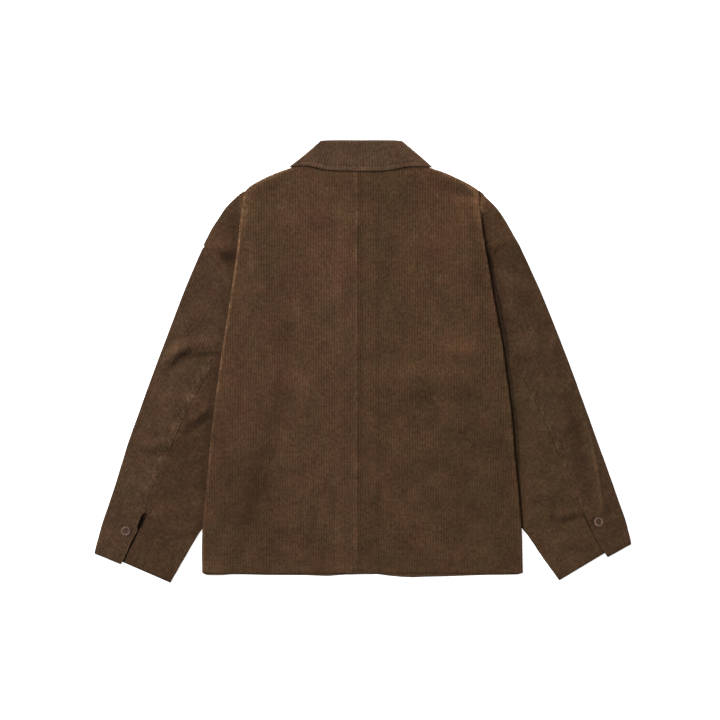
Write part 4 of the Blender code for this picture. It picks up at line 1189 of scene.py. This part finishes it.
def drillHoles(piece, ring):
    drills = []
    for x, y in ring:
        bpy.ops.mesh.primitive_cylinder_add(vertices=20, radius=button["hole"] / 2 * mm, depth=0.02)
        drill = bpy.context.object
        drill.location = (x * mm, y * mm, 0)
        cut = piece.modifiers.new("hole", "BOOLEAN")
        cut.operation, cut.solver, cut.object = "DIFFERENCE", "EXACT", drill
        drills.append(drill)
    bpy.context.view_layer.update()
    piece.data = bpy.data.meshes.new_from_object(piece.evaluated_get(bpy.context.evaluated_depsgraph_get()))
    piece.modifiers.clear()
    for drill in drills:
        bpy.data.objects.remove(drill, do_unlink=True)


def makeButton(word):
    middleX, middleY = button["places"][word]
    outer, height = button["width"] / 2, button["height"]
    wellZ, inside = height - button["well"], outer - button["rim"]
    # half section, from the well's middle over the rim to the underside
    profile = [(0, wellZ + 0.05), (inside - 1.6, wellZ), (inside - 0.5, wellZ + 0.12),
               (inside + 0.1, wellZ + 0.45), (inside + 0.7, height - 0.04), (outer - 1.1, height),
               (outer - 0.45, height - 0.18), (outer - 0.08, height - 0.65), (outer, height - 1.1),
               (outer - 0.15, 0.75), (outer - 0.7, 0.3), (outer - 1.8, 0.03), (0, 0)]
    edges = [(k, k + 1) for k in range(len(profile) - 1)]
    mesh = bpy.data.meshes.new("cuffButton" + word)
    mesh.from_pydata([(r * mm, 0, z * mm) for r, z in profile], edges, [])
    piece = bpy.data.objects.new("cuffButton" + word, mesh)
    scene.collection.objects.link(piece)
    turning = piece.modifiers.new("turned", "SCREW")
    turning.steps = turning.render_steps = 72
    turning.use_merge_vertices = True
    turning.merge_threshold = 0.00001
    turning.use_normal_calculate = True
    reach = button["spacing"] / math.sqrt(2)
    angles = [math.radians(button["turn"] + 90 * k) for k in range(4)]
    ring = [(reach * math.cos(angle), reach * math.sin(angle)) for angle in angles]
    drillHoles(piece, ring)
    finished = piece.data
    finished.name = "cuffButton" + word
    finished.polygons.foreach_set("use_smooth", [True] * len(finished.polygons))
    finished.set_sharp_from_angle(angle=math.radians(48))
    outward = np.array([math.hypot(vertex.co.x, vertex.co.y) / mm for vertex in finished.vertices])
    paint(finished, "rim", ramp(outward, inside - 0.6, inside + 0.3))
    lift = Vector((middleX, middleY, button["underside"]))
    for vertex in finished.vertices:
        vertex.co += lift * mm
    # two crossing pairs of strands, in at one hole and out at the next, and a short shank
    strands = []
    for k in (0, 2):
        a, b = (Vector((*ring[j], 0)) for j in (k, k + 1))
        for spread in (-0.32, 0.0, 0.32):
            beside = (b - a).normalized().cross(Vector((0, 0, 1))) * spread
            strand = []
            for t in np.linspace(0, 1, 9):
                rise = wellZ - 0.9 + 1.45 * math.sin(math.pi * (0.12 + 0.76 * t)) ** 0.6
                strand.append((*(a.lerp(b, t) + beside + Vector((0, 0, rise)) + lift), 1.0))
            strands.append(strand)
    for angle in (0, math.tau / 3, math.tau * 2 / 3):
        shank = Vector((0.45 * math.cos(angle), 0.45 * math.sin(angle), 0)) + lift
        strands.append([(shank.x, shank.y, shank.z + z, 1.0) for z in (-0.9, -0.3, 0.3)])
    return piece, makeTubes("buttonThread" + word, strands, button["strand"])


buttons, threads = {}, {}
for _, word in sides:
    buttons[word], threads[word] = makeButton(word)
print("buttons made")


def sleeveLine(side, inset, fromRow, toRow):
    # a line beside the back seam, on the upper sleeve
    plan, row, _ = sleevePlan(side, True, np.linspace(0, 1, 5))
    line = plan[:, 0] + unit(plan[:, -1] - plan[:, 0]) * inset
    return line[(row >= fromRow) & (row <= toRow)]


def cuffLine(side, isUpper):
    data = sleeves[side]
    down = unit(np.subtract(data["seam"][-1], data["seam"][-2])) * sewing["cuffInset"]
    start, end = data["seam"][-1] - down, data["outer" if isUpper else "inner"][-1] - down
    way = unit(end - start)
    return [start + way * (6 if isUpper else 2), end - way * 1.8]


# rows of stitches, each with the piece it is sewn on
sewn = []
for side, word in sides:
    upper, under = sleevePieces["upper" + word], sleevePieces["under" + word]
    paths = [sleeveLine(side, *line) for line in sewing["sleeveLines"]]
    sewn.append((sewLines("sleeveStitch" + word, paths + [cuffLine(side, True)], upper), upper))
    sewn.append((sewLines("cuffStitch" + word, [cuffLine(side, False)], under), under))
collarPath = []
for side, _ in sides:
    course = collarCourse(side, 1 - collar["stitchInset"] / collar["fallWidth"])
    line = [(centreX + side * x, y) for x, y in collarLine(course, 4.0, 60, 4, 2)[0][:60]]
    collarPath += line[::-1] if side < 0 else line[1:]
collarStitch = sewLines("collarStitch", [collarPath], collarFall)
for (side, word), piece in zip(sides, (backLeft, backRight)):
    hem = [(centreX + side * out, sewing["hemY"]) for out in (2, sewing["hemReach"][side])]
    sewn.append((sewLines("hemStitch" + word, [hem], piece), piece))
centreLine = [(centreX - sewing["centreInset"], y) for y in np.linspace(-345, 300, 60)]
sewn.append((sewLines("centreStitch", [centreLine], backLeft), backLeft))
sewn.append((collarStitch, collarFall))
print("sewing made")


def feed(tree, socket, value):
    if isinstance(value, bpy.types.NodeSocket):
        tree.links.new(value, socket)
    else:
        socket.default_value = value


def addNode(tree, kind, inputs=None, **settings):
    # inputs by number or name, each a socket or a plain value
    made = tree.nodes.new("ShaderNode" + kind)
    for key, value in settings.items():
        setattr(made, key, value)
    for key, value in (inputs or {}).items():
        feed(tree, made.inputs[key], value)
    return made


def mathNode(tree, operation, first, second=0.0, clamp=False):
    return addNode(tree, "Math", {0: first, 1: second}, operation=operation, use_clamp=clamp).outputs[0]


def mixNode(tree, factor, first, second, blend="MIX"):
    made = addNode(tree, "Mix", {}, data_type="RGBA", blend_type=blend, clamp_factor=True)
    for index, value in ((0, factor), (6, first), (7, second)):
        feed(tree, made.inputs[index], value)
    return made.outputs[2]


def rangeNode(tree, value, fromLow, fromHigh, toLow, toHigh):
    limits = {"From Min": fromLow, "From Max": fromHigh, "To Min": toLow, "To Max": toHigh}
    return addNode(tree, "MapRange", {"Value": value, **limits}, clamp=True).outputs[0]


def noiseNode(tree, vector, scale, detail=2.0, roughness=0.5, output=0):
    inputs = {"Vector": vector, "Scale": scale, "Detail": detail, "Roughness": roughness}
    return addNode(tree, "TexNoise", inputs).outputs[output]


def splitNode(tree, vector):
    return addNode(tree, "SeparateXYZ", {"Vector": vector}).outputs


def stretchNode(tree, vector, factors):
    return addNode(tree, "VectorMath", {0: vector, 1: factors}, operation="MULTIPLY").outputs[0]


def bumpNode(tree, height, strength, distance):
    return addNode(tree, "Bump", {"Strength": strength, "Distance": distance, "Height": height}).outputs[0]


def newMaterial(name, values):
    material = bpy.data.materials.new(name)
    material.use_nodes = True
    tree = material.node_tree
    surface = tree.nodes["Principled BSDF"].inputs
    for label, value in values.items():
        surface[label].default_value = value
    return material, tree, surface


corduroy = {
    "mottle": 20.0,         # scales of the noises
    "tufts": 210.0,
    "fibre": 1700.0,
    "wearAndHighlightNoise": 150.0,
    "light": (0.74, 1.26),  # from the darkest mottling to the lightest
    "tuftTints": ((0.67, 0.60, 0.52, 1), (1.30, 1.40, 1.55, 1)),
    "ribTints": ((0.76, 0.70, 0.63, 1), (1.085, 1.11, 1.145, 1)),   # groove and crest
    "fibreLight": (0.82, 1.18),
    "toneAndShadingShare": 0.5,
    "wearAndHighlightShare": 0.85,
    "shadeShare": 0.72,
    "roughness": (0.86, 0.97),
}


def buildCorduroyLook():
    group = bpy.data.node_groups.new("corduroyLook", "ShaderNodeTree")
    for label, kind, value in (
            ("Grain", "Vector", None), ("Place", "Vector", None),
            ("Warm", "Color", (0.06, 0.03, 0.015, 1)), ("Cool", "Color", (0.05, 0.03, 0.018, 1)),
            ("Wear_and_highlight", "Float", 0.0), ("Shade", "Float", 0.0), ("Tone", "Float", 0.0), ("Warmth", "Float", 0.0),
            ("Ribs", "Float", 1.0)):
        made = group.interface.new_socket(name=label, in_out="INPUT", socket_type="NodeSocket" + kind)
        if value is not None:
            made.default_value = value
    for label, kind in (("Colour", "Color"), ("Height", "Float"), ("Roughness", "Float")):
        group.interface.new_socket(name=label, in_out="OUTPUT", socket_type="NodeSocket" + kind)
    given, end = group.nodes.new("NodeGroupInput").outputs, group.nodes.new("NodeGroupOutput").inputs

    def times(first, second):
        return mathNode(group, "MULTIPLY", first, second)

    def plus(first, second, clamp=False):
        return mathNode(group, "ADD", first, second, clamp)

    phase = times(splitNode(group, given["Grain"])[0], math.pi / (cloth["waleWidth"] * mm))
    ribs = mathNode(group, "ABSOLUTE", mathNode(group, "SINE", phase))
    ribs = mathNode(group, "POWER", ribs, cloth["waleRoundness"])
    # uneven nap, from hand-sized areas down to tufts: how light, how red and how clear the ribs are
    uneven = splitNode(group, noiseNode(group, given["Place"], corduroy["mottle"], 3.6, 1.0, "Color"))
    napLight = rangeNode(group, uneven[0], 0.3, 0.7, *corduroy["light"])
    patches = rangeNode(group, uneven[1], 0.3, 0.7, -0.62, 0.62)
    clear = rangeNode(group, uneven[2], 0.36, 0.64, 0.45, 1.45)
    lean = rangeNode(group, plus(times(given["Warmth"], 0.3), patches), -1.0, 1.0, 1.0, 0.0)
    tufts = noiseNode(group, stretchNode(group, given["Grain"], (1.0, 0.9, 1.0)), corduroy["tufts"], 2.0, 0.8)
    fibre = noiseNode(group, stretchNode(group, given["Grain"], (1.0, 0.2, 1.0)), corduroy["fibre"], 3.0, 0.6)
    tuftTint = mixNode(group, rangeNode(group, tufts, 0.26, 0.74, 0.0, 1.0), *corduroy["tuftTints"])
    # the ribs are clearer towards the shoulders
    whereY = splitNode(group, given["Place"])[1]
    clear = times(times(clear, rangeNode(group, whereY, -0.3, 0.15, 0.72, 1.0)), given["Ribs"])
    crest = times(rangeNode(group, ribs, 0.1, 0.95, -0.73, 0.27), clear)
    ribTint = mixNode(group, plus(crest, 0.73, True), *corduroy["ribTints"])
    base = mixNode(group, lean, given["Warm"], given["Cool"])
    base = mixNode(group, 1.0, base, tuftTint, "MULTIPLY")
    base = mixNode(group, 1.0, base, ribTint, "MULTIPLY")
    # rubbed places and painted highlights are lighter, painted shade darkens folds, seams and gaps
    light = times(napLight, rangeNode(group, fibre, 0.3, 0.7, *corduroy["fibreLight"]))
    # the nap's lightness, which carries painted crease shade and highlights
    toned = plus(times(given["Tone"], corduroy["toneAndShadingShare"]), 1.0)
    light = times(light, mathNode(group, "MAXIMUM", toned, 0.4))
    wearAndHighlightNoise = rangeNode(group, noiseNode(group, given["Place"], corduroy["wearAndHighlightNoise"], 3.0), 0.3, 0.7, 0.4, 1.0)
    light = times(light, plus(times(times(given["Wear_and_highlight"], wearAndHighlightNoise), corduroy["wearAndHighlightShare"]), 1.0))
    shaded = times(given["Shade"], corduroy["shadeShare"])
    light = times(light, mathNode(group, "SUBTRACT", 1.0, shaded, True))
    colour = addNode(group, "VectorMath", {0: base, "Scale": light}, operation="SCALE").outputs[0]
    group.links.new(colour, end["Colour"])
    group.links.new(plus(plus(times(ribs, 0.4), times(fibre, 0.3)), times(tufts, 0.5)), end["Height"])
    group.links.new(rangeNode(group, uneven[0], 0.4, 0.6, *corduroy["roughness"]), end["Roughness"])
    return group


corduroyLook = buildCorduroyLook()

# each finish: its own colour, and how clear the ribs are
corduroys = {
    "backLeft": ((0.0580, 0.0300, 0.0150), 1.0),
    "backRight": ((0.0535, 0.0278, 0.0134), 1.0),
    "sleeveLeft": ((0.0555, 0.0300, 0.0158), 0.6),
    "sleeveRight": ((0.0452, 0.0243, 0.0123), 0.6),
    "underLeft": ((0.0462, 0.0243, 0.0122), 0.6),
    "underRight": ((0.0482, 0.0256, 0.0124), 0.6),
    "collar": ((0.0635, 0.0350, 0.0198), 1.1),
    "inside": ((0.0430, 0.0238, 0.0128), 1.0),
}
nap = {
    # the nap leans from the finish's own colour to a redder and to a greener side
    "leans": {"Warm": (1.09, 0.895, 1.04), "Cool": (0.91, 1.105, 0.96)},
    "relief": (0.6, 0.0004),
    "surface": {
        "Sheen Weight": 0.1, "Sheen Roughness": 0.5, "Sheen Tint": (0.55, 0.38, 0.27, 1),
        "Specular IOR Level": 0.04,
    },
}


def corduroyMaterial(name, tint, ribs):
    material, tree, surface = newMaterial(name, nap["surface"])
    inputs = {"Ribs": ribs}
    for label, lean in nap["leans"].items():
        inputs[label] = (*[own * share for own, share in zip(tint, lean)], 1)
    inputs["Grain"] = addNode(tree, "UVMap", uv_map="grain").outputs["UV"]
    inputs["Place"] = addNode(tree, "TexCoord").outputs["Object"]
    for label in ("Wear_and_highlight", "Shade", "Tone", "Warmth"):
        inputs[label] = addNode(tree, "Attribute", attribute_name=label.lower()).outputs["Fac"]
    look = addNode(tree, "Group", inputs, node_tree=corduroyLook).outputs
    tree.links.new(look["Colour"], surface["Base Color"])
    tree.links.new(look["Roughness"], surface["Roughness"])
    tree.links.new(bumpNode(tree, look["Height"], *nap["relief"]), surface["Normal"])
    return material


threadLook = {
    "colours": ((0.030, 0.017, 0.009, 1), (0.055, 0.032, 0.018, 1)),
    "twist": 900.0,
    "relief": (0.4, 0.0001),
    "surface": {"Roughness": 0.85, "Specular IOR Level": 0.05},
}


def threadMaterial():
    material, tree, surface = newMaterial("brownThread", threadLook["surface"])
    twist = noiseNode(tree, addNode(tree, "TexCoord").outputs["Object"], threadLook["twist"])
    tree.links.new(mixNode(tree, twist, *threadLook["colours"]), surface["Base Color"])
    tree.links.new(bumpNode(tree, twist, *threadLook["relief"]), surface["Normal"])
    return material


buttonLook = {
    "pale": ((0.062, 0.032, 0.023, 1), (0.134, 0.072, 0.053, 1)),   # the rim's two colours
    "deep": ((0.044, 0.022, 0.014, 1), (0.078, 0.040, 0.026, 1)),   # the well's
    "clouds": 160.0,
    "fine": 700.0,
    "roughness": (0.42, 0.6),
    "relief": (0.15, 0.0001),
    "surface": {"Specular IOR Level": 0.25},
}


def buttonMaterial():
    material, tree, surface = newMaterial("mottledButton", buttonLook["surface"])
    place = addNode(tree, "TexCoord").outputs["Object"]
    clouds = rangeNode(tree, noiseNode(tree, place, buttonLook["clouds"], 4.0, 0.6), 0.38, 0.62, 0, 1)
    deep, pale = (mixNode(tree, clouds, *buttonLook[label]) for label in ("deep", "pale"))
    rim = addNode(tree, "Attribute", attribute_name="rim").outputs["Fac"]
    fine = noiseNode(tree, place, buttonLook["fine"])
    tree.links.new(mixNode(tree, rim, deep, pale), surface["Base Color"])
    tree.links.new(rangeNode(tree, fine, 0.3, 0.7, *buttonLook["roughness"]), surface["Roughness"])
    tree.links.new(bumpNode(tree, fine, *buttonLook["relief"]), surface["Normal"])
    return material


thread = threadMaterial()
mottled = buttonMaterial()
finished = {label: corduroyMaterial(label + "Corduroy", *look) for label, look in corduroys.items()}

# each sheet: solid, finish, flat size in metres, flat area in square metres and what it lies on
sheets = [
    (backLeft, "back_left", "backLeft", (0.335, 0.690), 0.200, "frontLeftCloth"),
    (backRight, "back_right", "backRight", (0.350, 0.690), 0.208, "frontRightCloth"),
    (frontLeft, "front_left", "inside", (0.352, 0.690), 0.205, "floor"),
    (frontRight, "front_right", "inside", (0.366, 0.690), 0.213, "floor"),
    (sleevePieces["upperLeft"], "sleeve_upper_left", "sleeveLeft", (0.300, 0.560), 0.110, "floor"),
    (sleevePieces["upperRight"], "sleeve_upper_right", "sleeveRight", (0.300, 0.550), 0.108, "floor"),
    (sleevePieces["underLeft"], "sleeve_under_left", "underLeft", (0.160, 0.450), 0.055, "floor"),
    (sleevePieces["underRight"], "sleeve_under_right", "underRight", (0.160, 0.445), 0.055, "floor"),
    (collarFall, "collar_fall", "collar", (0.470, 0.060), 0.0275, "backLeftCloth"),
    (collarStand, "collar_stand", "inside", (0.460, 0.036), 0.0125, "collarFallCloth"),
]


def dress(piece, material):
    piece.data.materials.clear()
    piece.data.materials.append(material)
    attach(piece, "root")


for piece, node, finish, *_ in sheets:
    dress(piece, finished[finish])
    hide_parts(node)
    for stitches, home in sewn:
        if home == piece:
            dress(stitches, thread)
for _, word in sides:
    node = "cuff_button_" + word.lower()
    dress(buttons[word], mottled)
    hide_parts(node)
    dress(threads[word], thread)
print("materials made")

studio = {
    "pixel": 1.65,
    "pixels": 720,
    "middle": (-4.1, 0.8),
    "lens": 85.0,
    "sensor": 36.0,
    "world": 0.52,
    "sun": 4.1,
    "sunSoftness": 14.0,
    "sunFrom": (-0.72, 0.7, 0.95),
    "floorSize": 6.0,
    "floorTone": (0.93, 0.93, 0.93, 1),
    "floorLight": (0.95, 0.95, 0.95, 1),
    "floorGlow": 0.65,
}
bpy.ops.mesh.primitive_plane_add(size=studio["floorSize"], location=(0, 0, -0.0004))
floor = bpy.context.object
floor.name = "floor"
paper, tree, surface = newMaterial("paleFloor", {
    "Roughness": 0.9, "Emission Color": (1, 1, 1, 1), "Emission Strength": studio["floorGlow"]})
grit = noiseNode(tree, addNode(tree, "TexCoord").outputs["Object"], 40.0, 3.0)
tree.links.new(mixNode(tree, grit, studio["floorTone"], studio["floorLight"]), surface["Base Color"])
floor.data.materials.append(paper)

world = bpy.data.worlds.new("studioAir")
scene.world = world
world.use_nodes = True
air = world.node_tree.nodes["Background"].inputs
air["Color"].default_value = (1, 1, 1, 1)
air["Strength"].default_value = studio["world"]
sun = bpy.data.objects.new("window", bpy.data.lights.new("window", "SUN"))
sun.data.energy = studio["sun"]
sun.data.angle = math.radians(studio["sunSoftness"])
sun.rotation_euler = Vector(studio["sunFrom"]).to_track_quat("Z", "Y").to_euler()
scene.collection.objects.link(sun)

camera = bpy.data.objects.new("camera", bpy.data.cameras.new("camera"))
camera.data.type = "PERSP"
camera.data.lens = studio["lens"]
camera.data.sensor_width = studio["sensor"]
camera.data.clip_end = 20
distance = studio["pixels"] * studio["pixel"] * studio["lens"] / studio["sensor"]
camera.location = Vector((*studio["middle"], distance + 4)) * mm
scene.collection.objects.link(camera)
scene.camera = camera
scene.view_settings.view_transform = "Standard"
scene.view_settings.look = "None"
print("floor, light and camera made")

for piece, node, finish, flat, area, below in sheets:
    built = sum(face.area for face in piece.data.polygons) / 2
    print(piece.name, "faces", len(piece.data.polygons), "area", round(built, 4), "cut", area)
